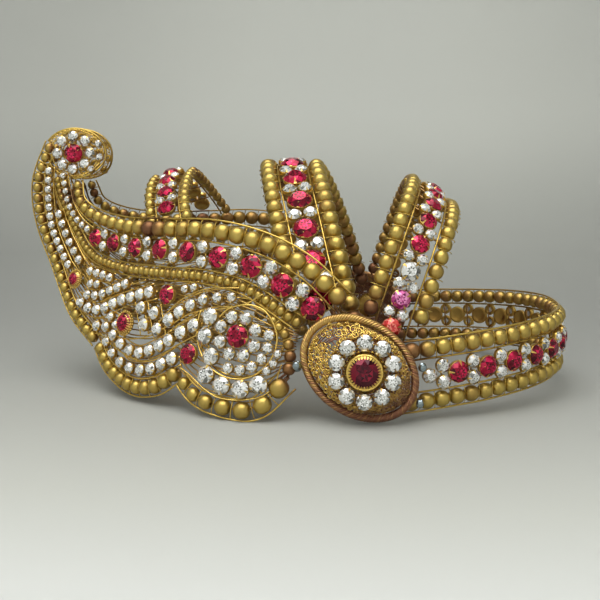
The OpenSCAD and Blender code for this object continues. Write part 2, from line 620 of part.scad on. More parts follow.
module rosette_middle_stone() {
    r = rosette_stone / 2;
    outline = [[0, 0.7], [r / 2 - 0.2, 0.7], [r, 1.9], [r, 2.4], [0.64 * r, 4.1], [0, 4.1]];
    color("darkred") on_rosette() translate([ROSETTE_OFF.x, ROSETTE_OFF.y, DOME - 0.5])
        rotate_extrude($fn = 48) polygon(outline);
}

// Clear stones of the rosette, in its own frame
ROSETTE_CLEARS = 10;
function rosette_clear_places() =
    [for (i = [0:ROSETTE_CLEARS - 1])
        let (q = rosette_inner(36 * i + 18, ROSETTE_RING)) [[q.x, q.y, DOME - 1.1], UP, ROSETTE_CLEAR]];

// Lumps of solder beside the rosette: [place, radius]
SOLDER = [[[76.2, 13.6, 20.5], 1.6], [[73.6, 57.2, 20.4], 1.3], [[74.2, 56.6, 7.6], 1.3]];
module solder_joints() {
    color("lightslategray") for (lump = SOLDER) translate(lump[0]) sphere(r = lump[1]);
}

module rosette_bit(bit) {
    if (bit == "rosette_frame") rosette_frame();
    if (bit == "rosette_rope") rosette_rope();
    if (bit == "rosette_filigree") rosette_filigree();
    if (bit == "rosette_bezel") rosette_bezel();
    if (bit == "rosette_middle_stone") rosette_middle_stone();
    if (bit == "rosette_clear_stones") on_rosette() stones(rosette_clear_places(), "whitesmoke");
    if (bit == "rosette_cups") on_rosette() cups(rosette_clear_places());
    if (bit == "solder_joints") solder_joints();
}

// Short wires across the prow, from one wing's front edge to the other's
PROW_PLACES = [1, 3, 6];
module prow_joints() {
    q = path_on_wing(beside(sampled(FRONT_EDGE, 16), FRONT_BEAD, -1));
    color("lightslategray") for (i = PROW_PLACES) translate([0, q[i].y, q[i].z]) rotate([0, 90, 0])
        cylinder(r = wire_r, h = 2 * (q[i].x - wire_r - gap), center = true);
}

// --- Assembly ----------------------------------------------------------------------------------

for (s = SIDES) {
    for (bit = WING_BITS) on_side(s) wing_bit(bit);
    for (bit = ROSETTE_BITS) on_side(s) rosette_bit(bit);
}
prow_joints();
for (bit = BAND_BITS) band_bit(bit);
for (bit = ARCH_BITS) {
    arch_bit(FRONT_ARCH, FRONT_SET, bit);
    arch_bit(MIDDLE_ARCH, MIDDLE_SET, bit);
    arch_bit(REAR_ARCH, REAR_SET, bit);
}
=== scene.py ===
# Looks of a theatrical crown of brass wire, strung metal beads and cut stones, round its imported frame.
# Lengths are millimetres in the shape code and become metres in Piece.build. The floor, the lamps and the
# camera are in metres. +Z is up, -Y is the forehead.
import math

import bpy
import numpy as np
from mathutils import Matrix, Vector


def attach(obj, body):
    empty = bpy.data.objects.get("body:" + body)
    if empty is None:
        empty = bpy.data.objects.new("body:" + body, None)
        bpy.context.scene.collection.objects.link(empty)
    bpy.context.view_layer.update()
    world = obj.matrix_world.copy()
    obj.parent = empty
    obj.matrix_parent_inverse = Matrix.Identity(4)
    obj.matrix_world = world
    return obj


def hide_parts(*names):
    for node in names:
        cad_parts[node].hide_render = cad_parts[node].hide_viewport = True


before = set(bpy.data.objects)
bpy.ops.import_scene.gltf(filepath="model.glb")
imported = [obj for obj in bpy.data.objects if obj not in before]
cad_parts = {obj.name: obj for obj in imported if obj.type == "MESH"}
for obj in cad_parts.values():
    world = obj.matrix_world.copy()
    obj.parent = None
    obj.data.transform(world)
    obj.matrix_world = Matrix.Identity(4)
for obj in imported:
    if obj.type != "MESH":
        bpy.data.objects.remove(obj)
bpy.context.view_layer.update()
MM = 0.001
UP = np.array([0.0, 0.0, 1.0])

# ---- Sizes, as in the part's source ----

WIRE_R = 0.45
STRING_R = 0.35
GAP = 0.08
CUP_WALL = 0.2
CUP_HEIGHT = 1.6
CUP_BASE = WIRE_R + 0.1
GIRDLE_GAP = 0.05
STRING_END = 0.62

WING_STEP, WING_START = 20, -120
WING_PLAN = np.array([3.2, 4.2, 14, 27.5, 41, 52.5, 59.5, 63.5, 65.5, 66])
WING_LEAN, TIP_X = 0.33, 4.2
LEAN_KNEE, LEAN_SOFT = 62, 6
FLAT_FROM, FLAT_OVER = 76, 20

FRONT_EDGE = [(-100, 100.5), (-107, 83), (-105.5, 66), (-98, 49.5), (-87, 30.5), (-73.5, 19.5)]
SCALLOP_1 = [(-71.5, 18.5), (-65.5, 11.2), (-54, 5.8), (-42, 7.5), (-31.8, 14.5)]
SCALLOP_2 = [(-31, 12), (-23.8, 6.8), (-10.5, 4), (0, 5.2), (10.2, 15)]
HEEL = [(10.2, 16.5), (10.8, 23), (9, 30), (3.4, 36)]
TOP_EDGE = [(-87.5, 84), (-85, 75), (-76, 69.3), (-60, 66), (-40, 65.8), (-20, 66), (0, 62), (16, 54),
            (29.5, 42)]
RED_ROW = [(-75, 60.5), (-55, 57.8), (-28, 57.5), (-2.5, 53), (19, 39.5)]
SMALL_ROW = [(-97.6, 86), (-95.6, 78), (-88.5, 65), (-79, 54), (-62, 49.5), (-40, 49), (-22, 49),
             (-5, 45.3), (14.5, 34)]
CURL, CURL_R = (-89.5, 96), 7.2
SCROLL, SCROLL_R = (-8, 28.8), 6.9
# Rows of clear stones on the wing: path, number, first and last diameter
CLEAR_ROWS = [
    ([(-94.3, 87.8), (-92.2, 81), (-89.8, 74), (-85, 67.3), (-78.3, 63)], 9, 2.4, 2.8),
    ([(-100.6, 90.5), (-101.3, 79), (-100, 66), (-95.6, 56.5), (-88.6, 46.8)], 12, 2.9, 3.4),
    ([(-96.6, 72), (-93.6, 65), (-89, 57), (-82.5, 49)], 6, 3.3, 3.6),
    ([(-79, 46.8), (-71.5, 45.8), (-64.5, 44.4)], 4, 3.4, 3.5),
    ([(-78.2, 41.6), (-71.2, 41.6)], 2, 3.2, 3.2),
    ([(-80, 36.8), (-72.3, 37.2), (-64.5, 40.2), (-56, 44)], 6, 3.6, 3.8),
    ([(-83.5, 34.6), (-77, 31.7), (-70, 32), (-59.5, 36.8), (-43.5, 42)], 9, 4.2, 4.6),
    ([(-74, 25), (-66.5, 25.5), (-58.6, 20.3), (-49.5, 18.2), (-40.4, 21.8), (-33.5, 26)], 9, 4, 4.6),
    ([(-67.5, 22), (-62.5, 16.2), (-54.5, 12.2), (-44.4, 12.9), (-31.5, 19.6)], 8, 3.6, 4.8),
    ([(-38.3, 30.3), (-30.2, 36.1), (-21, 40.8), (-8, 42.6)], 6, 5, 3.2),
    ([(-33, 26.5), (-27.8, 29.7), (-22.6, 32.6)], 2, 5, 5),
    ([(-50.2, 38), (-46.7, 25.8)], 2, 4.8, 4.8),
    ([(-43.8, 36.6), (-40.2, 25)], 2, 4.8, 4.8),
    ([(-66.6, 29.9), (-62, 29.2), (-62, 24.8)], 2, 3.2, 2.6),
    ([(-31.5, 43.3), (-23.8, 45.2)], 2, 2.8, 2.8)]
# Arcs of clear stones round the scroll: radius, first and last angle, number, diameter
SCROLL_ARCS = [(SCROLL_R, 20, 335, 8, 4.3), (12.4, 150, 218, 3, 6), (11.6, 5, -106, 6, 3.7),
               (18.1, -63, -129, 4, 6.2), (15.7, -20, -46, 3, 2.7)]
# Red stones set singly: along Y, height, diameter, and whether the setting is a toothed bezel
SINGLE_REDS = [(-85.4, 42.7, 6.2, True), (-57, 28.2, 8, True), (-37.4, 41, 7.2, False),
               (-26.7, 21, 7.2, False), (*SCROLL, 8, False), (*CURL, 7.8, False)]
# Size of each row's beads: first and last pitch, fatness, share of the row that it grows over
FRONT_BEAD, SCALLOP_1_BEAD, SCALLOP_2_BEAD = (4.5, 5.1, 0.92, 1), (4.7, 5.3, 1.12, 1), (5.8, 8.6, 0.83, 1)
HEEL_BEAD, TOP_BEAD, SMALL_BEAD = (4.6, 3, 1.03, 1), (3.9, 7, 1.02, 0.45), (2.6, 3.5, 1.2, 1)
# Path, number of beads and their size
BEAD_ROWS = {"front": (FRONT_EDGE, 21, FRONT_BEAD), "scallop_1": (SCALLOP_1, 11, SCALLOP_1_BEAD),
             "scallop_2": (SCALLOP_2, 7, SCALLOP_2_BEAD), "heel": (HEEL, 6, HEEL_BEAD),
             "top": (TOP_EDGE, 26, TOP_BEAD), "small": (SMALL_ROW, 50, SMALL_BEAD)}
RED_COUNT, RED_SIZE, PAIR_SIZE, RED_CROWDING = 9, (7, 8.4), (3.8, 4.8), 1.1
PAIR_GAP = 0.4

RING_HALF_WIDTH, RING_WIDEST, RING_BACK, RING_POWER, RING_RISE = 77.5, 26, 116, 2.35, 0.09
BAND_LOW, BAND_WIDTH, BAND_BEAD, BAND_BEADS, BAND_REDS = 3.4, 18.8, 6, 35, 7
BAND_END, BAND_RED, BAND_CLEAR, BAND_PITCH = 61, 7.6, 4.8, 11.9
BAND_END_CLEAR = 7.93
BAND_MIDDLE = BAND_LOW + BAND_WIDTH / 2
BAND_CENTRE = np.array([0, 0, 12.0])

# Half span, foot height, top height, squareness, foot Y, top Y, sweep power, ribbon width, tilt, leg end
# and splay of each arch
FRONT_ARCH = (38.6, 64.4, 86.5, 1.45, -38.6, -47, 1.2, 16.8, -11, 76, 0.75)
MIDDLE_ARCH = (70, 10, 90.5, 1.67, 29.4, 4.3, 0.81, 20.4, 0, 70, 0)
REAR_ARCH = (66.3, 20, 79.5, 3.4, 42, 62.7, 0.9, 18.5, 33.5, 89, 0)
# Bead diameter, beads in the front and the back row, reds each side of the top, their pitch, red and clear
# diameter, and the angles at which the front and the back row of beads end
FRONT_SET = (4.4, (15, 19), 4, 10.3, 6.8, 3.7, (76, 76))
MIDDLE_SET = (6.8, (30, 30), 6, 15.1, 9.4, 5, (70, 70))
REAR_SET = (5.5, (35, 32), 10, 10.2, 6.6, 3.8, (86, 81.5))

ROSETTE = np.array([73.2, 35.3, 19.6])
ROSETTE_LENGTH, ROSETTE_WIDTH, ROSETTE_TILT, ROSETTE_LEAN = 45, 34.5, 34.5, 6
ROPE_R, DOME, ROSETTE_RING, ROSETTE_OFF, ROSETTE_STONE = 1.5, 5, 10.2, (2, -0.8), 11
ROSETTE_CLEARS, ROSETTE_CLEAR = 10, 5.4
SOLDER = [((76.2, 13.6, 20.5), 1.6), ((73.6, 57.2, 20.4), 1.3), ((74.2, 56.6, 7.6), 1.3)]

# ---- Sizes that only the looks have ----

# How far a stone reaches past its cup's inner wall, and its height: a share of its radius and a fixed part
STONE_LIP, CROWN_SHARE, CROWN_BASE = 0.14, 0.36, 0.35
CLAWS, BEZEL_TEETH, MIDDLE_TEETH = 4, 22, 32
GRANULES, GRANULE_R = 26, 0.42
# Radius of the wires beside and under the wing's clear stones
THIN_R, UNDER_R = 0.26, 0.35
# Bead rows of the wing with wires on both sides, and the steps of those wires
SIDE_WIRES = (("front", 60), ("scallop_1", 36), ("scallop_2", 36), ("top", 70), ("small", 80))
# Radius of the fine wire bound between each row's beads
WRAPS = (("front", 0.3), ("scallop_1", 0.18), ("scallop_2", 0.24), ("heel", 0.2), ("top", 0.18),
         ("small", 0.15))
# Long bright wires that lie over the wing between the stones: path in the drawing, radius
SWEEPS = [([(-74, 28), (-60, 22.5), (-47, 24.3), (-36, 30), (-26, 35.6), (-14, 38), (-5, 40.5), (1, 44)],
           0.3),
          ([(-71, 23), (-57, 17), (-44, 16), (-31, 24), (-22.5, 28.6)], 0.3),
          ([(-45, 26), (-38, 33.5), (-30, 40.5), (-20, 44.8), (-8, 45.6)], 0.26),
          ([(-83, 38), (-72, 34.6), (-60, 41.5), (-48, 45.6)], 0.24),
          ([(-96, 62), (-88, 50), (-79, 44), (-66, 42.5)], 0.24),
          ([(-30.5, 16), (-24.5, 13), (-15, 7.6), (-4, 7.4), (5, 11.5), (8, 20)], 0.26)]
FLOW_WIRES = 20
EDGE_ROWS = ("front", "scallop_1", "scallop_2", "heel")
# The scroll's bright outline: angle and radius
SCROLL_SPIRAL = [(150, 16.6), (185, 15.6), (225, 15.2), (270, 14.6), (320, 14.2), (360, 14.4), (405, 13.4),
                 (450, 10.6), (500, 9.4)]
# Bands of wire curls in the rosette: inset from the rim, number and size of the curls
CURL_BANDS = ((4.0, 54, 1.0), (5.2, 48, 1.3), (6.6, 42, 1.4), (8.0, 36, 1.4), (9.4, 30, 1.3))
# Rings of wire curls round the rosette's stones: number, distance outside their circle and size
CURL_RINGS = ((38, 3.0, 1.0), (26, -3.3, 0.75), (10, -0.9, 1.0), (10, 1.4, 1.1))
# Cords of the rosette: inset, strands, turns, strand radius, radius of their helix, core radius
RIM_CORD = (ROPE_R, 5, 24, 0.5, 0.98, 0.62)
INNER_CORD = (ROPE_R * 2 + 0.75, 3, 30, 0.36, 0.36, 0.2)
STRAND_BROWN = (-0.25, 0.22, -0.1, 0.3, 0.0)


# ---- Curves ----

def mix(a, b, k):
    return a + (b - a) * k


def ease(v):
    c = min(1, max(0, v))
    return c * c * (3 - 2 * c)


def unit(v):
    return v / np.linalg.norm(v)


def heading(a):
    return np.array([math.cos(a), math.sin(a)])


def left_of(t):
    return np.array([-t[1], t[0]])


def full_circle(count):
    return [2 * math.pi * i / count for i in range(count)]


def any_angle(rng):
    return rng.uniform(0, 6.28)


def spline(p, t):
    """The smooth curve through the points p, at place t from 0 to len(p) - 1."""
    last = len(p) - 1
    i = min(last - 1, max(0, math.floor(t)))
    u = t - i
    b, c = p[i], p[i + 1]
    a = p[i - 1] if i > 0 else 2 * b - c
    d = p[i + 2] if i < last - 1 else 2 * c - b
    return 0.5 * (2 * b + (c - a) * u + (2 * a - 5 * b + 4 * c - d) * u ** 2
                  + (3 * b - a - 3 * c + d) * u ** 3)


def sampled(p, steps):
    p = np.asarray(p, float)
    return np.array([spline(p, i * (len(p) - 1) / steps) for i in range(steps + 1)])


def runs(q):
    """Distance along the line q at each of its points."""
    return np.concatenate([[0], np.cumsum(np.linalg.norm(np.diff(q, axis=0), axis=1))])


def at_run(q, r, s):
    """The place at distance s along the line q, whose points lie at the distances r."""
    return np.array([np.interp(s, r, q[:, k]) for k in range(q.shape[1])])


def pitch_at(size, u):
    """Pitch of the beads at the share u of a row."""
    return mix(size[0], size[1], min(1, u / size[3]))


def bead_places(q, count, size):
    """Beads strung close together that fill the path q: (place, direction, pitch, diameter)."""
    r = runs(q)
    raw = [pitch_at(size, i / (count - 1)) for i in range(count)]
    sums = [sum(raw[:i]) + raw[i] / 2 for i in range(count)]
    k = r[-1] / (raw[-1] / 2 + sums[-1])
    out = []
    for pitch, s in zip(raw, sums):
        ahead, behind = at_run(q, r, min(r[-1], s * k + 0.3)), at_run(q, r, max(0, s * k - 0.3))
        out.append((at_run(q, r, s * k), unit(ahead - behind), pitch * k, pitch * k * size[2]))
    return out


def even_beads(q, count, d):
    pitch = runs(q)[-1] / count
    return bead_places(q, count, (pitch, pitch, d / pitch, 1))


def spaced(q, count):
    r = runs(q)
    return [at_run(q, r, r[-1] * (i + 0.5) / count) for i in range(count)]


def beside(q, away):
    """The drawn line q moved to its left by `away`, which is one number or one for each point."""
    n = len(q) - 1
    away = np.broadcast_to(np.asarray(away, float), (n + 1,))
    out = []
    for i in range(n + 1):
        t = unit(q[min(i + 1, n)] - q[max(i - 1, 0)])
        out.append(q[i] + away[i] * left_of(t))
    return np.array(out)


def clear_of_beads(steps, size):
    """Distance from a row's string to the wires beside it, at each of its steps."""
    return np.array([pitch_at(size, i / steps) * size[2] / 2 + WIRE_R + GAP for i in range(steps + 1)])


def arc_points(middle, r, start, end, steps):
    a = np.radians(np.linspace(start, end, steps + 1))
    return np.stack([middle[0] + r * np.cos(a), middle[1] + r * np.sin(a)], 1)


# ---- The wing's curved surface and the ribbons of the band and the arches ----

def wing_x(y, z):
    plan = spline(WING_PLAN, (y - WING_START) / WING_STEP)
    flat = TIP_X + (plan - TIP_X) * (1 - ease((z - FLAT_FROM) / FLAT_OVER))
    lean = WING_LEAN - 0.1 * min(1, max(0, (y + 20) / 40))
    return flat + lean * LEAN_SOFT * math.log1p(math.exp((LEAN_KNEE - z) / LEAN_SOFT))


def wing_normal(q):
    e = 0.5
    along = (wing_x(q[0] + e, q[1]) - wing_x(q[0] - e, q[1])) / (2 * e)
    up = (wing_x(q[0], q[1] + e) - wing_x(q[0], q[1] - e)) / (2 * e)
    return unit(np.array([1, -along, -up]))


def on_wing(q, h=0.0):
    """The drawing's point q on the wing's surface, raised by h."""
    return np.array([wing_x(q[0], q[1]), q[0], q[1]]) + h * wing_normal(q)


def path_on_wing(q, h=0.0):
    return np.array([on_wing(p, h) for p in q])


def set_on_wing(q, d):
    return on_wing(q), wing_normal(q), d


def red_row_points(count, shift):
    q = sampled(RED_ROW, 40)
    r = runs(q)
    return [at_run(q, r, r[-1] * ((i + shift) / (RED_COUNT - 1)) ** RED_CROWDING) for i in range(count)]


def wing_pairs():
    """Clear stones stand in pairs between the red ones of the row."""
    out = []
    places = zip(red_row_points(RED_COUNT - 1, 0.5), red_row_points(RED_COUNT - 1, 0.42),
                 red_row_points(RED_COUNT - 1, 0.58))
    for i, (mid, low, high) in enumerate(places):
        t, d = unit(high - low), mix(*PAIR_SIZE, i / (RED_COUNT - 2))
        out += [set_on_wing(mid + k * (d / 2 + CUP_WALL + PAIR_GAP) * left_of(t), d) for k in (-1, 1)]
    return out


def clear_row(row):
    path, count, first, last = row
    return [set_on_wing(q, mix(first, last, i / (count - 1)))
            for i, q in enumerate(spaced(sampled(path, 40), count))]


def band_line(z, steps=60):
    out = []
    for t in np.radians(np.linspace(BAND_END, -BAND_END, steps + 1)):
        x = abs(math.sin(t)) ** (2 / RING_POWER) * math.copysign(1, t)
        y = -RING_WIDEST + (RING_BACK + RING_WIDEST) * math.cos(t) ** (2 / RING_POWER)
        out.append((RING_HALF_WIDTH * x, y, z + RING_RISE * (y - 22)))
    return np.array(out)


def arch_line(shape, shift, end, steps=60):
    span, foot, top, square, foot_y, top_y, sweep, _, tilt, _, splay = shape
    width = np.array([0, math.cos(math.radians(tilt)), -math.sin(math.radians(tilt))])
    out = []
    for t in np.radians(np.linspace(end, -end, steps + 1)):
        c = math.cos(t) ** (2 / square)
        x = (span + splay * shift) * abs(math.sin(t)) ** (2 / square) * math.copysign(1, t)
        out.append(np.array([x, top_y + (foot_y - top_y) * (1 - c) ** sweep, foot + (top - foot) * c])
                   + shift * width)
    return np.array(out)


class Ribbon:
    """The middle line of a band or an arch, with the direction across it and a point inside its curve."""

    def __init__(self, line, width, centre):
        self.line, self.width, self.centre, self.run = line, width, centre, runs(line)

    def at(self, s):
        """Place, outward direction and across direction at distance s from the middle of the line."""
        here = self.run[-1] / 2 + s
        p, ahead, behind = (at_run(self.line, self.run, here + k) for k in (0, 0.5, -0.5))
        t = unit(ahead - behind)
        n = unit(np.cross(t, self.width))
        if n @ (p - self.centre) < 0:
            n = -n
        return p, n, unit(self.width - (self.width @ t) * t)

    def singles(self, places, d):
        return [(*self.at(s)[:2], d) for s in places]

    def pairs(self, places, d):
        away = d / 2 + CUP_WALL + PAIR_GAP
        return [(p + side * away * w, n, d) for p, n, w in map(self.at, places) for side in (-1, 1)]

    def ties(self, places, reach):
        return [(p - w * reach, p + w * reach) for p, _, w in map(self.at, places)]


# ---- Mesh making ----

class Piece:
    """Shapes gathered into one Blender object that stands for the CAD node of the same name. All shapes of
    the wings and rosettes are given for the left side, and the right side's pieces are mirrored."""

    def __init__(self, name, slot, more_materials=()):
        self.name, self.slot, self.materials = name, slot, [MATERIALS[slot], *more_materials]
        self.points, self.faces, self.smooth, self.material = [], [], [], []
        self.patina, self.spark, self.count = [], [], 0

    def add(self, points, faces, smooth=True, material=0, patina=0.0, spark=0.5):
        """Brownness (patina, and painted shade on the rosettes): one number or one per point; painted facet
        light of stones: one number or one per face.
        """
        points = np.asarray(points, float)
        self.points.append(points)
        self.faces += [[i + self.count for i in f] for f in faces]
        self.count += len(points)
        self.smooth += [smooth] * len(faces)
        self.material += [material] * len(faces)
        self.patina.append(np.broadcast_to(np.asarray(patina, float), (len(points),)))
        self.spark.append(np.broadcast_to(np.asarray(spark, float), (len(faces),)))

    def build(self):
        points = np.concatenate(self.points) * MM
        faces = self.faces
        if self.name.startswith("right_"):
            points = points * [-1, 1, 1]
            faces = [f[::-1] for f in faces]
        mesh = bpy.data.meshes.new(self.name + "_fine")
        mesh.from_pydata(points.tolist(), [], faces)
        mesh.polygons.foreach_set("use_smooth", self.smooth)
        mesh.polygons.foreach_set("material_index", self.material)
        patina = mesh.attributes.new("patina", "FLOAT", "POINT")
        patina.data.foreach_set("value", np.concatenate(self.patina).astype(np.float32))
        spark = mesh.attributes.new("spark", "FLOAT", "FACE")
        spark.data.foreach_set("value", np.concatenate(self.spark).astype(np.float32))
        for m in self.materials:
            mesh.materials.append(m)
        mesh.update()
        obj = bpy.data.objects.new(self.name + "_fine", mesh)
        bpy.context.scene.collection.objects.link(obj)
        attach(obj, "root")
        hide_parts(self.name)


def basis(direction, spin=0.0):
    """Rows are two directions across `direction` and the direction itself."""
    z = unit(np.asarray(direction, float))
    helper = UP if abs(z[2]) < 0.9 else np.array([1.0, 0, 0])
    x = unit(np.cross(helper, z))
    y = np.cross(z, x)
    c, s = math.cos(spin), math.sin(spin)
    return np.array([c * x + s * y, -s * x + c * y, z])


def placed(points, place, direction, spin=0.0):
    return np.asarray(points, float) @ basis(direction, spin) + place


def lathe(profile, segments, closed=True):
    """A closed solid turned round Z from (radius, height) points; a radius of 0 becomes a tip."""
    points, faces, rings = [], [], []
    for r, z in profile:
        if r < 1e-6:
            rings.append([len(points)] * segments)
            points.append((0, 0, z))
            continue
        rings.append(list(range(len(points), len(points) + segments)))
        a = np.arange(segments) * 2 * math.pi / segments
        points += [(r * math.cos(t), r * math.sin(t), z) for t in a]
    pairs = list(zip(rings, rings[1:])) + ([(rings[-1], rings[0])] if closed else [])
    for low, high in pairs:
        for k in range(segments):
            n = (k + 1) % segments
            corners = [low[k], low[n], high[n], high[k]]
            face = [c for i, c in enumerate(corners) if c != corners[i - 1]]
            if len(face) > 2:
                faces.append(face)
    return np.array(points, float), faces


def tube(path, radius, sides=8, loop=False):
    """A round wire along the path; radius is one number or one for each point."""
    path = np.asarray(path, float)
    n = len(path)
    radius = np.broadcast_to(np.asarray(radius, float), (n,))
    ahead = np.roll(path, -1, 0) if loop else np.concatenate([path[1:], path[-1:]])
    behind = np.roll(path, 1, 0) if loop else np.concatenate([path[:1], path[:-1]])
    dirs = ahead - behind
    dirs /= np.linalg.norm(dirs, axis=1)[:, None]
    x = basis(dirs[0])[0]
    angles = np.arange(sides) * 2 * math.pi / sides
    points = []
    for i in range(n):
        x = unit(x - (x @ dirs[i]) * dirs[i])
        y = np.cross(dirs[i], x)
        points.append(path[i] + radius[i] * (np.cos(angles)[:, None] * x + np.sin(angles)[:, None] * y))
    faces = []
    for i in range(n if loop else n - 1):
        a, b = i * sides, (i + 1) % n * sides
        faces += [[a + k, a + (k + 1) % sides, b + (k + 1) % sides, b + k] for k in range(sides)]
    if not loop:
        faces += [list(range(sides))[::-1], [(n - 1) * sides + k for k in range(sides)]]
    return np.concatenate(points), faces


def wavy(path, amount, rng, every=4):
    """The path with a slight hand-bent unevenness."""
    path = np.asarray(path, float)
    n = len(path)
    knots = rng.normal(0, amount, (max(3, n // every + 2), 3))
    t = np.linspace(0, len(knots) - 1, n)
    return path + np.stack([np.interp(t, np.arange(len(knots)), knots[:, k]) for k in range(3)], 1)


# ---- Patina: how brown the metal is at a place ----

# Places that solder has heated on both halves, with the radius that is brown all over and where it ends
HEAT = [((74, 35, 20), 18, 32), ((74, 14, 18), 3, 13), ((39, -47, 67), 3, 11), ((68, 53, 22), 4, 14),
        ((6, -90, 78), 2, 8)]


def patina_at(points):
    points = np.atleast_2d(points)
    brown = np.zeros(len(points))
    folded = points.astype(float)
    folded[:, 0] = np.abs(folded[:, 0])
    for place, full, end in HEAT:
        d = np.linalg.norm(folded - place, axis=1)
        k = np.clip((end - d) / (end - full), 0, 1)
        brown = np.maximum(brown, k * k * (3 - 2 * k))
    return brown


def add_wire(piece, path, radius, sides=8, loop=False, patina=0.0):
    points, faces = tube(path, radius, sides, loop)
    piece.add(points, faces, patina=np.clip(patina_at(points) * 0.9 + patina, 0, 1))


# ---- Beads, stones and cups ----

def bead_shape(segments, rings):
    """A drilled bead of radius 1 and half length 1, round-shouldered, with the holes' edges rolled in."""
    hole = 0.24
    start = hole ** 1.25
    profile = [(math.sin(a) ** 0.8, math.cos(a)) for a in np.linspace(start, math.pi - start, rings)]
    profile = [(hole * 0.8, 0.88)] + profile + [(hole * 0.8, -0.88)]
    return lathe(profile[::-1], segments)


BEAD = bead_shape(18, 12)
SMALL_BEAD_SHAPE = bead_shape(12, 8)


def add_beads(piece, places, rng, fine=True):
    shape, faces = BEAD if fine else SMALL_BEAD_SHAPE
    for place, direction, pitch, d in places:
        half = min(pitch - GAP, d) / 2
        points = shape * [d / 2 * rng.uniform(0.97, 1), d / 2 * rng.uniform(0.97, 1), half]
        wobble = direction + rng.normal(0, 0.05, 3)
        points = placed(points, place + rng.normal(0, 0.06, 3), wobble, any_angle(rng))
        own = rng.uniform(-0.12, 0.18) + (0.25 if rng.random() < 0.08 else 0)
        piece.add(points, faces, patina=np.clip(patina_at(points) * 0.8 + own, 0, 1), spark=rng.random())


def brilliant(r, height, low, rng):
    """A cut stone: points, faces and each face's painted brightness, from painted dark facet to painted
    highlight. Its girdle has radius r, at height 0.
    """
    n, star, table, rim = 8, 0.8, 0.55, 0.3
    points, faces, spark = [], [], []

    def ring(radius, z, count, turn):
        first = len(points)
        points.extend((radius * math.cos(a), radius * math.sin(a), z)
                      for a in (np.arange(count) + turn) * 2 * math.pi / count)
        return [first + i for i in range(count)]

    pit, = ring(0, low, 1, 0)
    base = ring(r * 0.5, low, 2 * n, 0)
    girdle_low = ring(r, -rim / 2, 2 * n, 0)
    girdle = ring(r, rim / 2, 2 * n, 0)
    stars = ring(r * star, height * 0.56, n, 0.5)
    tables = ring(r * table, height, n, 0)
    inner = ring(r * table * 0.48, height, n, 0.5)
    tip, = ring(0, height, 1, 0)

    # Each face gets a random painted brightness between the two values: painted reflection and dark in the
    # facets.
    def face(corners, low_value, high_value):
        faces.append(corners)
        spark.append(rng.uniform(low_value, high_value))

    for i in range(2 * n):
        j = (i + 1) % (2 * n)
        face([pit, base[j], base[i]], 0.3, 0.7)
        face([base[i], base[j], girdle_low[j], girdle_low[i]], 0.2, 0.8)
        face([girdle_low[i], girdle_low[j], girdle[j], girdle[i]], 0.3, 0.7)
    for i in range(n):
        j = (i + 1) % n
        face([tables[i], stars[i - 1], girdle[2 * i], stars[i]], 0.05, 1)
        face([tables[i], stars[i], tables[j]], 0, 1)
        face([stars[i], girdle[2 * i], girdle[2 * i + 1]], 0, 1)
        face([stars[i], girdle[2 * i + 1], girdle[(2 * i + 2) % (2 * n)]], 0, 1)
        face([tables[i], inner[i], inner[i - 1]], 0, 0.5)
        face([tables[i], tables[j], inner[i]], 0.5, 1)
        face([inner[i - 1], inner[i], tip], 0.2, 1)
    return np.array(points), faces, spark


def add_stone(piece, at, rng, material=0):
    place, direction, d = at
    height = CROWN_SHARE * d / 2 + CROWN_BASE
    points, faces, spark = brilliant(d / 2 + STONE_LIP, height, -(CUP_HEIGHT - 0.4), rng)
    lift = CUP_BASE + CUP_HEIGHT + GIRDLE_GAP
    tilt = direction + rng.normal(0, 0.03, 3)
    piece.add(placed(points, place + direction * lift, tilt, any_angle(rng)), faces, smooth=False,
              material=material, spark=spark)


def claw(r, rise, width, reach):
    """A small metal point that bends from a cup's rim over a stone's edge, along +X."""
    stations = [(r + 0.34, -0.9, width, 0.16), (r + 0.32, 0.1, width, 0.18),
                (r * 0.93 + 0.1, 0.42, width * 0.85, 0.2), (r * reach, rise, width * 0.25, 0.14)]
    points, faces = [], []
    for x, z, w, thick in stations:
        points += [(x, -w, z), (x, w, z), (x - thick * 0.6, w, z - thick), (x - thick * 0.6, -w, z - thick)]
    for i in range(len(stations) - 1):
        a = 4 * i
        faces += [[a + k, a + (k + 1) % 4, a + 4 + (k + 1) % 4, a + 4 + k] for k in range(4)]
    last = 4 * (len(stations) - 1)
    faces += [[3, 2, 1, 0], [last, last + 1, last + 2, last + 3]]
    return np.array(points), faces


def turned(points, angle):
    c, s = math.cos(angle), math.sin(angle)
    return points @ np.array([[c, s, 0], [-s, c, 0], [0, 0, 1]])


def cup_profile(r, red):
    """Section of a cup: the back of a red stone's is a shallow dish, and a clear stone's has a hole."""
    out, top = r + CUP_WALL, CUP_HEIGHT
    back = [(0, 0.32), (0.66 * r, 0.32), (0.74 * r, 0.05)] if red else [(0.5 * r, 0.3), (0.62 * r, 0.05)]
    wall = [(out - 0.12, 0.0), (out, 0.18), (out, top - 0.1), (out - 0.08, top + 0.05), (r + 0.06, top)]
    floor = [(0.56 * r, 0.45)] + ([(0, 0.45)] if red else [])
    return back + wall + floor


def add_cup(piece, at, rng, red, teeth=0):
    place, direction, d = at
    r = d / 2
    spin = any_angle(rng)
    base = place + direction * CUP_BASE
    patina = np.clip(patina_at(place)[0] * 0.9 + rng.uniform(0, 0.25), 0, 1)
    points, faces = lathe(cup_profile(r, red), 24 if red else 18, closed=not red)
    piece.add(placed(points, base, direction, spin), faces, patina=patina)
    width = 0.12 * r if teeth else 0.1 * r + 0.08
    rise = CROWN_SHARE * r * (0.55 if teeth else 0.75) + 0.45
    points, faces = claw(r, rise, width, 0.8 if teeth else (0.66 if red else 0.72))
    for angle in full_circle(teeth or CLAWS):
        own = turned(points, angle) + [0, 0, CUP_HEIGHT + GIRDLE_GAP]
        piece.add(placed(own, base, direction, spin), faces, smooth=False, patina=patina * 0.6)


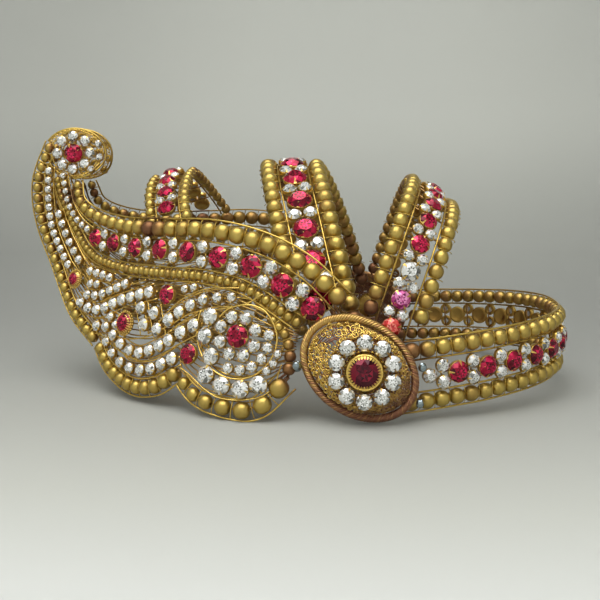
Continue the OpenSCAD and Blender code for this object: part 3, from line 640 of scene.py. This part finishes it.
def add_granules(piece, at, rng):
    """A ring of tiny balls round a toothed bezel."""
    place, direction, d = at
    shape, faces = SMALL_BEAD_SHAPE
    for a in full_circle(GRANULES):
        local = [(*((d / 2 + 0.75) * heading(a)), CUP_HEIGHT - 0.3)]
        centre = placed(local, place + direction * CUP_BASE, direction)[0]
        piece.add(placed(shape * GRANULE_R, centre, rng.normal(0, 1, 3)), faces, patina=0.05)


# ---- Materials ----

BUMP_DEPTH = 0.0002
GRAIN = 900


class Nodes:
    """Short hand for building one material's nodes."""

    def __init__(self, name):
        self.material = bpy.data.materials.new(name)
        self.material.use_nodes = True
        self.tree = self.material.node_tree
        self.shader = self.tree.nodes["Principled BSDF"]
        self.place = self.new("ShaderNodeTexCoord")["Object"]

    def put(self, value, socket):
        """Links another node's output to the socket, or sets the socket to a plain value."""
        if isinstance(value, bpy.types.NodeSocket):
            self.tree.links.new(value, socket)
        else:
            socket.default_value = value

    def new(self, kind, inputs=(), **settings):
        """The outputs of a new node; inputs are (name or number, value) pairs."""
        node = self.tree.nodes.new(kind)
        for key, value in settings.items():
            setattr(node, key, value)
        for key, value in inputs:
            self.put(value, node.inputs[key])
        return node.outputs

    def noise(self, scale, detail):
        inputs = (("Scale", scale), ("Detail", detail), ("Roughness", 0.55), ("Vector", self.place))
        return self.new("ShaderNodeTexNoise", inputs)["Fac"]

    def attribute(self, name):
        return self.new("ShaderNodeAttribute", attribute_name=name)["Fac"]

    def math(self, operation, a, b=0.0, clamp=False):
        return self.new("ShaderNodeMath", enumerate((a, b)), operation=operation, use_clamp=clamp)[0]

    def vector(self, operation, *values):
        return self.new("ShaderNodeVectorMath", enumerate(values), operation=operation)

    def ramp(self, fac, stops):
        node = self.tree.nodes.new("ShaderNodeValToRGB")
        elements = node.color_ramp.elements
        while len(elements) < len(stops):
            elements.new(0.5)
        for element, (at, color) in zip(elements, stops):
            element.position = at
            element.color = (*color, 1)
        self.put(fac, node.inputs["Fac"])
        return node.outputs["Color"]

    def ranged(self, value, source, result, kind="LINEAR"):
        """The value moved from one range to another, and held inside it."""
        inputs = zip(("Value", "From Min", "From Max", "To Min", "To Max"), (value, *source, *result))
        return self.new("ShaderNodeMapRange", inputs, interpolation_type=kind)["Result"]

    def bump(self, height, strength):
        inputs = (("Strength", strength), ("Distance", BUMP_DEPTH), ("Height", height))
        self.set(Normal=self.new("ShaderNodeBump", inputs)["Normal"])

    def set(self, **values):
        for key, value in values.items():
            self.put(value, self.shader.inputs[key.replace("_", " ")])


def inward(n):
    """1 where the surface faces the head, 0 where it faces out."""
    geometry = n.new("ShaderNodeNewGeometry")
    flat = n.vector("MULTIPLY", geometry["Position"], (1, 1, 0))[0]
    outward = n.vector("NORMALIZE", flat)[0]
    facing = n.vector("DOT_PRODUCT", geometry["Normal"], outward)["Value"]
    return n.ranged(facing, (0.1, -0.7), (0, 1), "SMOOTHSTEP")


def metal(name, stops, rough, inside=0.5, bump=0.25):
    """Aged metal: stops are its colours from clean to brown, driven by each point's brownness (patina, and
    painted shade on the rosettes), the side that faces the head and noise; rough holds the least and the
    most roughness and what brown adds to it."""
    n = Nodes(name)
    # The per-point brownness is patina, and on the rosettes also painted shade.
    brown = n.math("ADD", n.attribute("patina"), n.math("MULTIPLY", inward(n), inside))
    clouds = n.math("MULTIPLY", n.math("SUBTRACT", n.noise(260, 4), 0.5), 0.35)
    brown = n.math("ADD", brown, clouds, clamp=True)
    n.set(Base_Color=n.ramp(brown, stops), Metallic=1.0)
    worn = n.math("ADD", n.ranged(n.noise(GRAIN, 3), (0, 1), rough[:2]), n.math("MULTIPLY", brown, rough[2]))
    n.set(Roughness=worn)
    n.bump(n.math("ADD", n.noise(GRAIN, 2), n.math("MULTIPLY", n.noise(330, 2), 1.6)), bump)
    return n.material


def gem(name, stops, rough, metallic, coat=1.0):
    """Foil-backed cut glass with painted light: each facet's painted brightness, with a little noise, picks
    its colour from painted dark to painted highlight.
    """
    n = Nodes(name)
    clouds = n.math("MULTIPLY", n.math("SUBTRACT", n.noise(1500, 2), 0.5), 0.12)
    shade = n.math("ADD", n.attribute("spark"), clouds)
    n.set(Base_Color=n.ramp(shade, stops), Metallic=metallic, Roughness=rough, IOR=1.5, Coat_Weight=coat,
          Coat_Roughness=0.03, Coat_IOR=1.6)
    return n.material


# Material of each slot
MATERIALS = {
    "bead_metal": metal(
        "bead_gold", [(0, (0.52, 0.375, 0.10)), (0.35, (0.42, 0.285, 0.08)), (0.7, (0.32, 0.17, 0.065)),
                      (1, (0.20, 0.095, 0.05))], (0.3, 0.46, 0.12)),
    "frame_wire": metal(
        "frame_gold", [(0, (0.62, 0.43, 0.10)), (0.4, (0.40, 0.25, 0.07)), (1, (0.15, 0.07, 0.03))],
        (0.2, 0.4, 0.2), inside=0.4),
    "scroll_wire": metal(
        "scroll_gold", [(0, (0.80, 0.56, 0.15)), (0.45, (0.55, 0.35, 0.1)), (1, (0.27, 0.14, 0.09))],
        (0.16, 0.3, 0.2), inside=0.3),
    "string_wire": metal(
        "string_copper", [(0, (0.45, 0.27, 0.1)), (1, (0.16, 0.07, 0.035))], (0.3, 0.5, 0.2)),
    "rope_wire": metal(
        "rope_copper", [(0, (0.60, 0.40, 0.13)), (0.45, (0.45, 0.24, 0.11)), (1, (0.28, 0.13, 0.08))],
        (0.28, 0.45, 0.15), inside=0.3),
    "cup_metal": metal(
        "cup_gold", [(0, (0.75, 0.52, 0.14)), (0.5, (0.48, 0.29, 0.08)), (1, (0.2, 0.1, 0.04))],
        (0.2, 0.38, 0.15), inside=0.35),
    "solder": metal(
        "solder_grey", [(0, (0.30, 0.36, 0.38)), (0.5, (0.22, 0.25, 0.26)), (1, (0.3, 0.22, 0.14))],
        (0.12, 0.3, 0.1), inside=0.0, bump=0.5),
    # Each glass's stops run from the painted dark of a facet to its painted highlight; the hue is the
    # glass's own.
    "red_stone": gem(
        "red_glass", [(0, (0.035, 0.0, 0.004)), (0.4, (0.18, 0.0, 0.014)), (0.75, (0.40, 0.002, 0.035)),
                      (1, (0.80, 0.02, 0.11))], 0.14, 0.6, 0.12),
    "dark_red_stone": gem(
        "dark_red_glass", [(0, (0.02, 0.0, 0.003)), (0.6, (0.09, 0.0, 0.01)), (1, (0.22, 0.001, 0.018))],
        0.1, 0.6, 0.15),
    "clear_stone": gem(
        "clear_glass", [(0, (0.05, 0.05, 0.045)), (0.28, (0.34, 0.34, 0.31)), (0.6, (0.74, 0.74, 0.71)),
                        (1, (1.0, 1.0, 0.99))], 0.1, 0.45)}
# These glasses too run from painted facet dark to painted highlight.
PINK_GLASS = gem("pink_glass", [(0, (0.12, 0.005, 0.05)), (0.5, (0.42, 0.03, 0.2)), (1, (0.85, 0.3, 0.55))],
                 0.1, 0.4, 0.3)
ORANGE_GLASS = gem("orange_glass", [(0, (0.25, 0.005, 0.005)), (0.5, (0.70, 0.03, 0.03)),
                                    (1, (0.95, 0.3, 0.22))], 0.1, 0.4, 0.3)


# ---- Nodes that wings, rosettes, band and arches have alike ----

def build(name, slot, *fills):
    """One node's piece; each of the fills is a function and the values that it takes after the piece."""
    piece = Piece(name, slot)
    for fill, *values in fills:
        fill(piece, *values)
    piece.build()


def build_beads(name, rows, rng, fine=True):
    build(name, "bead_metal", *((add_beads, row, rng, fine) for row in rows))


def build_strings(name, rows, ties=()):
    """The strings of the rows, and straight wires from place to place."""
    straight = ((add_wire, [mix(a, b, k) for k in (0, 0.5, 1)], WIRE_R * 0.7) for a, b in ties)
    build(name, "string_wire", *((add_string, row) for row in rows), *straight)


def build_stones(name, slot, places, rng, other_glass=(), repairs=()):
    """Repairs are stones of another glass: number of the stone, number of the glass."""
    piece, glass = Piece(name, slot, other_glass), dict(repairs)
    for i, at in enumerate(places):
        add_stone(piece, at, rng, glass.get(i, 0))
    piece.build()


def build_cups(name, reds, clears, rng):
    """Cups of the red stones, each with whether it is a toothed bezel, and of the clear stones."""
    piece = Piece(name, "cup_metal")
    for at, bezel in reds:
        add_cup(piece, at, rng, True, BEZEL_TEETH if bezel else 0)
        if bezel:
            add_granules(piece, at, rng)
    for at in clears:
        add_cup(piece, at, rng, False)
    piece.build()


# ---- Wings ----

def wing_rows():
    return {key: bead_places(path_on_wing(sampled(path, 40)), count, size)
            for key, (path, count, size) in BEAD_ROWS.items()}


def wing_reds():
    row = red_row_points(RED_COUNT, 0)
    out = [(set_on_wing(q, mix(*RED_SIZE, i / (RED_COUNT - 1))), False) for i, q in enumerate(row)]
    return out + [(set_on_wing((y, z), d), bezel) for y, z, d, bezel in SINGLE_REDS]


def wing_clears():
    ring = [set_on_wing(q, 4.2) for q in arc_points(CURL, CURL_R, 0, 315, 7)]
    ring += [set_on_wing(q, 2.8) for q in arc_points(CURL, 11.6, 20, -42, 2)]
    rows = [s for row in CLEAR_ROWS for s in clear_row(row)]
    arcs = [set_on_wing(q, d) for r, a, b, count, d in SCROLL_ARCS
            for q in arc_points(SCROLL, r, a, b, count - 1)]
    return wing_pairs() + ring + rows + arcs


def add_string(piece, places):
    """The wire that a row of beads is strung on, a little longer than the row."""
    first, last = places[0], places[-1]
    start = first[0] - first[1] * first[2] * STRING_END
    path = [start] + [p[0] for p in places] + [last[0] + last[1] * last[2] * STRING_END]
    add_wire(piece, path, STRING_R, 6)


def add_wraps(piece, places, outward, rng, thick):
    """Fine wire bound across the string in each gap between two beads, from one side wire to the other."""
    for a, b in zip(places, places[1:]):
        mid, along = (a[0] + b[0]) / 2, unit(b[0] - a[0])
        n = outward(mid)
        n = unit(n - (n @ along) * along)
        side = np.cross(along, n)
        reach = (a[3] + b[3]) / 4 + WIRE_R + GAP - 0.1
        path = [mid + side * reach * math.cos(t) + n * (0.75 + 0.08 * reach) * math.sin(t)
                for t in np.linspace(-0.25, math.pi + 0.25, 9)]
        add_wire(piece, path + along * rng.normal(0, 0.05), thick * rng.uniform(0.8, 1.2), 5, patina=-0.1)


def wing_frame(piece, rows, rng):
    for key, steps in SIDE_WIRES:
        path, _, size = BEAD_ROWS[key]
        q, away = sampled(path, steps), clear_of_beads(steps, size)
        for side in (-1, 1):
            add_wire(piece, wavy(path_on_wing(beside(q, side * away)), 0.04, rng), WIRE_R * 0.8)
    for key, thick in WRAPS:
        add_wraps(piece, rows[key], lambda place: wing_normal(place[1:]), rng, thick)
    tip = [CURL + q * [13.6, 10.6] for q in arc_points((0, 0), 1, 150, -95, 40)]
    add_wire(piece, path_on_wing(tip), WIRE_R)


def flow_wires(piece, rng):
    """Wires behind the stones that run along the wing between its upper and its lower outline."""
    upper = sampled(SMALL_ROW, 70)
    lower = sampled(FRONT_EDGE[1:] + SCALLOP_1[1:] + SCALLOP_2, 70)
    for k in np.linspace(0.07, 0.94, FLOW_WIRES):
        flow = mix(upper, lower, k) + rng.normal(0, 0.2, 2)
        add_wire(piece, wavy(path_on_wing(flow[2:], -0.75), 0.2, rng), 0.28, 5, patina=rng.uniform(0.1, 0.6))


def stone_row_wires(piece, rng):
    """A wire under each row of clear stones and one along each of its sides, and the long bright wires."""
    for path, count, first, last in CLEAR_ROWS:
        q = sampled(path, 3 * count + 6)
        add_wire(piece, path_on_wing(q, -0.1), UNDER_R, 6)
        edge = max(first, last) / 2 + 0.55
        for side in (-edge, edge):
            add_wire(piece, wavy(path_on_wing(beside(q, side), 0.9), 0.1, rng), THIN_R, 6)
    for path, thick in SWEEPS:
        add_wire(piece, wavy(path_on_wing(sampled(path, 50), 1.5), 0.08, rng), thick, 6, patina=-0.2)
    for r, a, b, count, _ in SCROLL_ARCS:
        add_wire(piece, path_on_wing(arc_points(SCROLL, r, a, b, 4 * count), -0.1), UNDER_R, 6)


def curl_wires(piece, rng):
    """Rings of wire and small loops round the stones of the curled tip."""
    for r in (CURL_R, 10.2, 12.4):
        q = [CURL + p * [1, min(1, 9.9 / r)] for p in arc_points((0, 0), r, 0, 352, 44)]
        add_wire(piece, wavy(path_on_wing(q, 0.3), 0.1, rng), THIN_R, 6)
    for angle in range(-100, 160, 10):
        middle = CURL + heading(math.radians(angle)) * [12.0, 9.6]
        loop = [middle + 0.75 * heading(t) for t in np.linspace(0, 5.2, 9)]
        add_wire(piece, path_on_wing(loop, 0.5), 0.17, 5)


def scroll_outline(piece):
    angles, radii = np.array(SCROLL_SPIRAL).T
    turns = np.linspace(angles[0], angles[-1], 80)
    q = [SCROLL + np.interp(a, angles, radii) * heading(math.radians(a)) for a in turns]
    add_wire(piece, path_on_wing(q, 1.4), 0.38, 8, patina=-0.2)
    q = [SCROLL + p * [16.3, 13.8] for p in arc_points((0, 0), 1, 95, -215, 60)]
    add_wire(piece, path_on_wing(q, -1.3), WIRE_R, 6)


def row_ties(piece):
    """Short wires across the row of red stones, behind its pairs of clear stones."""
    mids, ahead = red_row_points(RED_COUNT - 1, 0.5), red_row_points(RED_COUNT - 1, 0.55)
    for i, (mid, next_one) in enumerate(zip(mids, ahead)):
        reach = mix(4.4, 5.2, i / (RED_COUNT - 2)) * left_of(unit(next_one - mid))
        add_wire(piece, path_on_wing([mid + reach * k for k in np.linspace(-1, 1, 5)], -0.3), WIRE_R * 0.7)


def wing(side, seed):
    rng = np.random.default_rng(seed)
    rows, reds, clears = wing_rows(), wing_reds(), wing_clears()
    name = side + "_wing_"
    build(name + "frame", "frame_wire", (wing_frame, rows, rng))
    build(name + "scrolls", "scroll_wire", (flow_wires, rng), (stone_row_wires, rng), (curl_wires, rng),
          (scroll_outline,), (row_ties,))
    build_beads(name + "edge_beads", [rows[key] for key in EDGE_ROWS], rng)
    build_beads(name + "top_beads", [rows["top"]], rng)
    build_beads(name + "small_beads", [rows["small"]], rng, fine=False)
    build_strings(name + "bead_strings", rows.values())
    build_stones(name + "red_stones", "red_stone", [at for at, _ in reds], rng)
    build_stones(name + "clear_stones", "clear_stone", clears, rng)
    build_cups(name + "stone_cups", reds, clears, rng)


# ---- Rosettes ----

LEAN = math.radians(ROSETTE_LEAN)
ROSETTE_OUT = np.array([math.cos(LEAN), 0, math.sin(LEAN)])
ROSETTE_AXES = np.array([[0, 1, 0], [-math.sin(LEAN), 0, math.cos(LEAN)], ROSETTE_OUT])


def on_rosette(points):
    """Rosette places are (along Y, up, out) from the middle of its rim."""
    return np.asarray(points, float) @ ROSETTE_AXES + ROSETTE


def oval(a, inset):
    u, v = (ROSETTE_LENGTH / 2 - inset) * math.cos(a), (ROSETTE_WIDTH / 2 - inset) * math.sin(a)
    t = math.radians(ROSETTE_TILT)
    return np.array([u * math.cos(t) + v * math.sin(t), -u * math.sin(t) + v * math.cos(t)])


def dome(q):
    """Height of the rosette's domed net over its rim."""
    rel = np.asarray(q) - ROSETTE_OFF
    far = math.hypot(*rel)
    if far < ROSETTE_RING + 2:
        return DOME - 0.6
    rim = ROSETTE_WIDTH / 2 if abs(rel[0]) < abs(rel[1]) else ROSETTE_LENGTH / 2.3
    return mix(DOME - 0.6, 1.0, ease((far - ROSETTE_RING - 2) / (rim - ROSETTE_RING - 2)))


def add_cord(piece, inset, strands, turns, strand_r, r, core):
    """A twisted cord that follows the rosette's oval, with painted light and shade: gold above, copper brown
    below and at the back.
    """
    steps = 26 * turns
    middle = [np.append(oval(a, inset), 0) for a in np.linspace(0, 2 * math.pi, 90, endpoint=False)]
    points, faces = tube(on_rosette(middle), core, 8, loop=True)
    # The core is painted dark brown: painted shade that shows in the grooves between the strands.
    piece.add(points, faces, patina=0.9)
    for s in range(strands):
        path = []
        for i, a in enumerate(full_circle(steps)):
            here, next_one = oval(a, inset), oval(a + 0.02, inset)
            side = np.append(-left_of(unit(next_one - here)), 0)
            turn = 2 * math.pi * (turns * i / steps + s / strands)
            path.append(np.append(here, 0) + r * (math.cos(turn) * side + math.sin(turn) * UP))
        points, faces = tube(on_rosette(path), strand_r, 6, loop=True)
        # Painted light and shade on each strand: lighter towards the top, browner downwards and towards the
        # back, over each strand's own tone.
        height = (points[:, 2] - ROSETTE[2]) / 18
        forward = (points[:, 1] - ROSETTE[1]) / 22
        piece.add(points, faces, patina=np.clip(0.42 - 0.5 * height + 0.2 * forward + STRAND_BROWN[s], 0, 1))


def add_curl(piece, centre, radius, start, turns, thick, brown):
    path = []
    for k in np.linspace(0, 1, 22):
        q = centre + radius * (0.35 + 0.65 * k) * heading(start + turns * 2 * math.pi * k)
        path.append((*q, dome(q) + 0.35 * math.sin(9 * k + start)))
    points, faces = tube(on_rosette(path), thick, 5)
    piece.add(points, faces, patina=np.clip(brown, 0, 1))


def rosette_frame(piece, rng):
    """Openwork of wire rings and ribs inside the rope, and the raised rings that carry the stones."""
    add_cord(piece, *INNER_CORD)
    for k in range(9):
        ring = [(*(ROSETTE_OFF + q), DOME - 1.0)
                for q in arc_points((0, 0), ROSETTE_RING - 3.2 + 0.7 * k, 0, 352.5, 47)]
        add_wire(piece, wavy(on_rosette(ring), 0.08, rng), 0.3, 5, loop=True, patina=rng.uniform(-0.1, 0.35))
    for a in full_circle(34):
        rim = oval(a, ROPE_R * 2 + 0.6)
        toward = ROSETTE_OFF + (ROSETTE_RING + 2.2) * unit(rim - ROSETTE_OFF)
        q = [mix(rim, toward, k) for k in np.linspace(0, 1, 6)]
        path = on_rosette([(*p, dome(p) - 0.5) for p in q])
        add_wire(piece, wavy(path, 0.15, rng, 2), 0.24, 5, patina=rng.uniform(0, 0.5))
    for inset in (4.6, 5.4, 6.2, 7.0, 7.8, 8.6):
        q = [oval(a, inset) for a in np.linspace(0, 2 * math.pi, 60, endpoint=False)]
        ring = on_rosette([(*p, dome(p) - 0.3) for p in q])
        add_wire(piece, wavy(ring, 0.12, rng), 0.24, 5, loop=True, patina=rng.uniform(0, 0.5))


def rosette_filigree(piece, rng):
    """Dense curls of fine wire between the rim and the stones, open towards the upper front, with painted
    light and shade in their brownness.
    """
    for band, (inset, count, size) in enumerate(CURL_BANDS):
        for i in range(count):
            a = 2 * math.pi * (i + 0.5 * (band % 2)) / count
            centre = oval(a, inset) + rng.normal(0, 0.25, 2)
            rel = centre - ROSETTE_OFF
            if math.hypot(*rel) < ROSETTE_RING + 2.2:
                continue
            way = math.degrees(math.atan2(rel[1], rel[0])) % 360
            if 105 < way < 150 and rng.random() < 0.5:
                continue
            # Painted light and shade: browner towards the back and downwards, lighter towards the upper
            # front, over a random tone.
            brown = 0.3 + 0.022 * rel[0] - 0.022 * rel[1] + rng.uniform(-0.22, 0.22)
            add_curl(piece, centre, size * rng.uniform(0.8, 1.15), any_angle(rng),
                     rng.choice([1.3, -1.3, 1.7]), 0.22, brown)
    for count, off, size in CURL_RINGS:
        for a in full_circle(count):
            q = ROSETTE_OFF + (ROSETTE_RING + off) * heading(a)
            # Painted shade below and towards the back of each ring of curls, over a random tone.
            add_curl(piece, q, size, any_angle(rng), 1.4, 0.24,
                     0.12 - 0.2 * math.sin(a) + 0.12 * math.cos(a) + rng.uniform(0, 0.2))


def rosette_bezel(piece, middle, r):
    """The toothed setting of the stone in the middle."""
    profile = [(0, 0), (r + 1.0, 0), (r + 1.25, 0.5), (r + 1.15, 1.5), (r + 0.75, 2.3), (r + 0.3, 2.5),
               (r + 0.1, 2.2), (r + 0.1, 1.6), (r / 2, 0.6), (0, 0.6)]
    points, faces = lathe(profile, 64, closed=False)
    piece.add(placed(points, middle, ROSETTE_OUT), faces, patina=0.02)
    points, faces = claw(r, 0.95, 0.42, 0.86)
    for angle in full_circle(MIDDLE_TEETH):
        own = turned(points, angle) + [0, 0, 2.2]
        piece.add(placed(own, middle, ROSETTE_OUT), faces, smooth=False, patina=0.0)


def rosette_stone(piece, middle, r, rng):
    points, faces, spark = brilliant(r, 1.7, -1.5, rng)
    place = middle + ROSETTE_OUT * 2.25
    piece.add(placed(points, place, ROSETTE_OUT, 0.4), faces, smooth=False, spark=spark)


def solder_lumps(piece, rng):
    """Uneven lumps of solder where the rosette meets the wing and the band."""
    around = [(math.sin(a), -math.cos(a)) for a in np.linspace(0.25, 2.9, 11)]
    shape, faces = lathe([(0, -1)] + around + [(0, 1)], 16, closed=False)
    for place, size in SOLDER:
        own = shape * (1 + 0.12 * np.sin(shape @ rng.normal(0, 3, 3))[:, None])
        piece.add(placed(own * [size * 1.05, size * 0.8, size * 1.2], place, UP), faces, patina=0.1)


def rosette(side, seed):
    rng = np.random.default_rng(seed)
    name = side + "_rosette_"
    middle = on_rosette([(*ROSETTE_OFF, DOME - 0.5)])[0]
    places = []
    for i in range(ROSETTE_CLEARS):
        q = ROSETTE_OFF + ROSETTE_RING * heading(math.radians(36 * i + 18))
        places.append((on_rosette([(*q, DOME - 1.1)])[0], ROSETTE_OUT, ROSETTE_CLEAR))
    build(name + "frame", "rope_wire", (rosette_frame, rng))
    build(name + "rope", "rope_wire", (add_cord, *RIM_CORD))
    build(name + "filigree", "scroll_wire", (rosette_filigree, rng))
    build(name + "bezel", "cup_metal", (rosette_bezel, middle, ROSETTE_STONE / 2))
    build(name + "middle_stone", "dark_red_stone", (rosette_stone, middle, ROSETTE_STONE / 2, rng))
    build_stones(name + "clear_stones", "clear_stone", places, rng)
    build_cups(name + "cups", [], places, rng)
    build(side + "_solder_joints", "solder", (solder_lumps, rng))


# ---- Rear band and arches ----

# Other glass among the red stones, and the repairs on the left leg of the rear arch: number of the stone,
# number of its glass
OTHER_GLASS = (PINK_GLASS, ORANGE_GLASS, MATERIALS["clear_stone"])
REPAIRS = ((2, 3), (1, 1), (0, 2))


def ribbon_frame(piece, lines, rows, centre, rng):
    for line in lines:
        add_wire(piece, wavy(line, 0.06, rng), WIRE_R * 0.85)
    for row in rows:
        add_wraps(piece, row, lambda place: place - centre, rng, 0.16)


def build_ribbon(name, lines, middle, reds, clears, rows, ties, rng, repairs=()):
    """One row of stones between two rows of beads: builds the nodes that start with `name`."""
    every_row = [row for places in rows.values() for row in places]
    build(name + "_frame", "frame_wire", (ribbon_frame, lines, every_row, middle.centre, rng))
    for node, places in rows.items():
        build_beads(node, places, rng)
    build_strings(name + "_bead_strings", every_row, ties)
    build_stones(name + "_red_stones", "red_stone", reds, rng, OTHER_GLASS, repairs)
    build_stones(name + "_clear_stones", "clear_stone", clears, rng)
    build_cups(name + "_stone_cups", [(at, False) for at in reds], clears, rng)


def rear_band():
    rng = np.random.default_rng(5)
    middle = Ribbon(band_line(BAND_MIDDLE), UP, BAND_CENTRE)
    away = BAND_BEAD / 2 + WIRE_R + GAP
    top = BAND_LOW + BAND_WIDTH
    lines = [band_line(z, 90) for z in (BAND_LOW - away, BAND_LOW + away, top - away, top + away)]
    reds = middle.singles([k * BAND_PITCH for k in range(-BAND_REDS, BAND_REDS + 1)], BAND_RED)
    pairs = [(k + 0.5) * BAND_PITCH for k in range(-BAND_REDS - 1, BAND_REDS + 1)]
    ends = [-BAND_END_CLEAR * BAND_PITCH, BAND_END_CLEAR * BAND_PITCH]
    clears = middle.pairs(pairs, BAND_CLEAR) + middle.singles(ends, BAND_CLEAR)
    rows = {"rear_band_" + key + "_beads": [even_beads(band_line(z), BAND_BEADS, BAND_BEAD)]
            for key, z in (("bottom", BAND_LOW), ("top", top))}
    ties = middle.ties(pairs, BAND_WIDTH / 2 - away)
    build_ribbon("rear_band", lines, middle, reds, clears, rows, ties, rng)


def arch(name, shape, trim, seed, repairs=()):
    rng = np.random.default_rng(seed)
    foot_y, top_y, _, across, tilt, leg_end, _ = shape[4:]
    bead, counts, each_side, pitch, red, clear, ends = trim
    width = np.array([0, math.cos(math.radians(tilt)), -math.sin(math.radians(tilt))])
    middle = Ribbon(arch_line(shape, 0, leg_end), width, np.array([0, (foot_y + top_y) / 2, 20.0]))
    away = across / 2 - bead / 2 - WIRE_R - GAP
    lines = [arch_line(shape, side * away, leg_end, 80) for side in (-1, 1)]
    reds = middle.singles([(k + 0.5) * pitch for k in range(-each_side, each_side)], red)
    pairs = [k * pitch for k in range(1 - each_side, each_side)]
    rows = {name + "_beads": [even_beads(arch_line(shape, side * across / 2, end), count, bead)
                              for side, end, count in zip((-1, 1), ends, counts)]}
    build_ribbon(name, lines, middle, reds, middle.pairs(pairs, clear), rows, middle.ties(pairs, away), rng,
                 repairs)


def prow_wires(piece):
    """Short wires across the prow, thicker towards both ends."""
    q = path_on_wing(beside(sampled(FRONT_EDGE, 16), -clear_of_beads(16, FRONT_BEAD)))
    for i in (1, 3, 6):
        x = q[i][0] - WIRE_R - GAP
        path = [(x * k, q[i][1], q[i][2]) for k in np.linspace(-1, 1, 9)]
        points, faces = tube(path, [WIRE_R * (1 + 0.35 * abs(k) ** 3) for k in np.linspace(-1, 1, 9)], 10)
        piece.add(points, faces, patina=0.1)


for side, wing_seed, rosette_seed in (("left", 7, 23), ("right", 11, 31)):
    wing(side, wing_seed)
    rosette(side, rosette_seed)
build("prow_joints", "solder", (prow_wires,))
rear_band()
arch("front_arch", FRONT_ARCH, FRONT_SET, 41)
arch("middle_arch", MIDDLE_ARCH, MIDDLE_SET, 43)
arch("rear_arch", REAR_ARCH, REAR_SET, 47, REPAIRS)


# ---- Floor, light and camera ----

def paper(name):
    """Grey paper with painted light and shade: lighter in front, far back and where it rises, and darker at
    the sides.
    """
    n = Nodes(name)
    x, y, z = n.new("ShaderNodeSeparateXYZ", [("Vector", n.place)])
    # Painted light falloff: the forward, back and rise terms paint light into the grey, and the side term
    # paints shade.
    forward = n.math("MULTIPLY", n.math("POWER", n.ranged(x, (-0.2, 0.2), (0, 1)), 3), 0.6)
    rise = n.ranged(z, (-0.06, 0.2), (0, 0.32), "SMOOTHSTEP")
    back = n.ranged(n.math("MULTIPLY", x, -1), (0.15, 0.7), (0, 0.14), "SMOOTHSTEP")
    side = n.ranged(n.math("ABSOLUTE", y), (0.1, 0.6), (0, 0.2), "SMOOTHSTEP")
    shade = n.math("SUBTRACT", n.math("ADD", n.math("ADD", forward, back), rise), side)
    shade = n.math("ADD", shade, n.math("MULTIPLY", n.noise(6, 2), 0.02))
    greys = [(0, (0.22, 0.223, 0.208)), (0.45, (0.478, 0.485, 0.447)), (1, (0.79, 0.805, 0.80))]
    n.set(Base_Color=n.ramp(shade, greys), Roughness=0.7)
    n.bump(n.noise(600, 2), 0.05)
    return n.material


def sweep():
    """A pale floor that curves up into a backdrop all round, away from the crown."""
    reach, bend = 0.6, 0.6
    profile = [(reach * k, 0.0) for k in (0, 0.2, 0.5, 0.8, 1.0)]
    profile += [(reach + bend * math.sin(a), bend * (1 - math.cos(a)))
                for a in np.linspace(0.1, math.pi / 2, 12)]
    profile += [(reach + bend, 1.4), (reach + bend, 3.0)]
    points, faces = lathe(profile, 96, closed=False)
    mesh = bpy.data.meshes.new("floor")
    mesh.from_pydata(points.tolist(), [], [f[::-1] for f in faces])
    mesh.polygons.foreach_set("use_smooth", [True] * len(mesh.polygons))
    mesh.materials.append(paper("floor_paper"))
    floor = bpy.data.objects.new("floor", mesh)
    bpy.context.scene.collection.objects.link(floor)


def lamp(name, place, target, size, power):
    data = bpy.data.lights.new(name, "AREA")
    data.shape = "RECTANGLE"
    data.size, data.size_y = size
    data.energy = power
    obj = bpy.data.objects.new(name, data)
    obj.location = place
    obj.rotation_euler = (Vector(target) - Vector(place)).to_track_quat("-Z", "Y").to_euler()
    bpy.context.scene.collection.objects.link(obj)


sweep()
lamp("top_softbox", (0.35, -0.1, 1.5), (0, 0, 0.03), (1.5, 1.5), 25)
lamp("front_softbox", (1.3, -0.5, 0.65), (0, -0.02, 0.05), (0.8, 0.8), 42)
lamp("back_fill", (-1.2, 0.8, 0.9), (0, 0, 0.05), (1.0, 0.8), 7.5)
world = bpy.data.worlds.new("studio")
world.use_nodes = True
world.node_tree.nodes["Background"].inputs["Color"].default_value = (0.78, 0.80, 0.78, 1)
world.node_tree.nodes["Background"].inputs["Strength"].default_value = 0.8
bpy.context.scene.world = world

CAMERA_AT = Vector((0.3587, 0.0415, 0.0847))
CAMERA_WAY = Vector((-0.98537, -0.09314, -0.14263))
camera = bpy.data.cameras.new("camera")
camera.lens, camera.sensor_width = 50, 36
camera.clip_start = 0.01
viewer = bpy.data.objects.new("camera", camera)
viewer.location = CAMERA_AT
viewer.rotation_euler = CAMERA_WAY.to_track_quat("-Z", "Y").to_euler()
bpy.context.scene.collection.objects.link(viewer)
bpy.context.scene.camera = viewer
bpy.context.scene.view_settings.view_transform = "Standard"
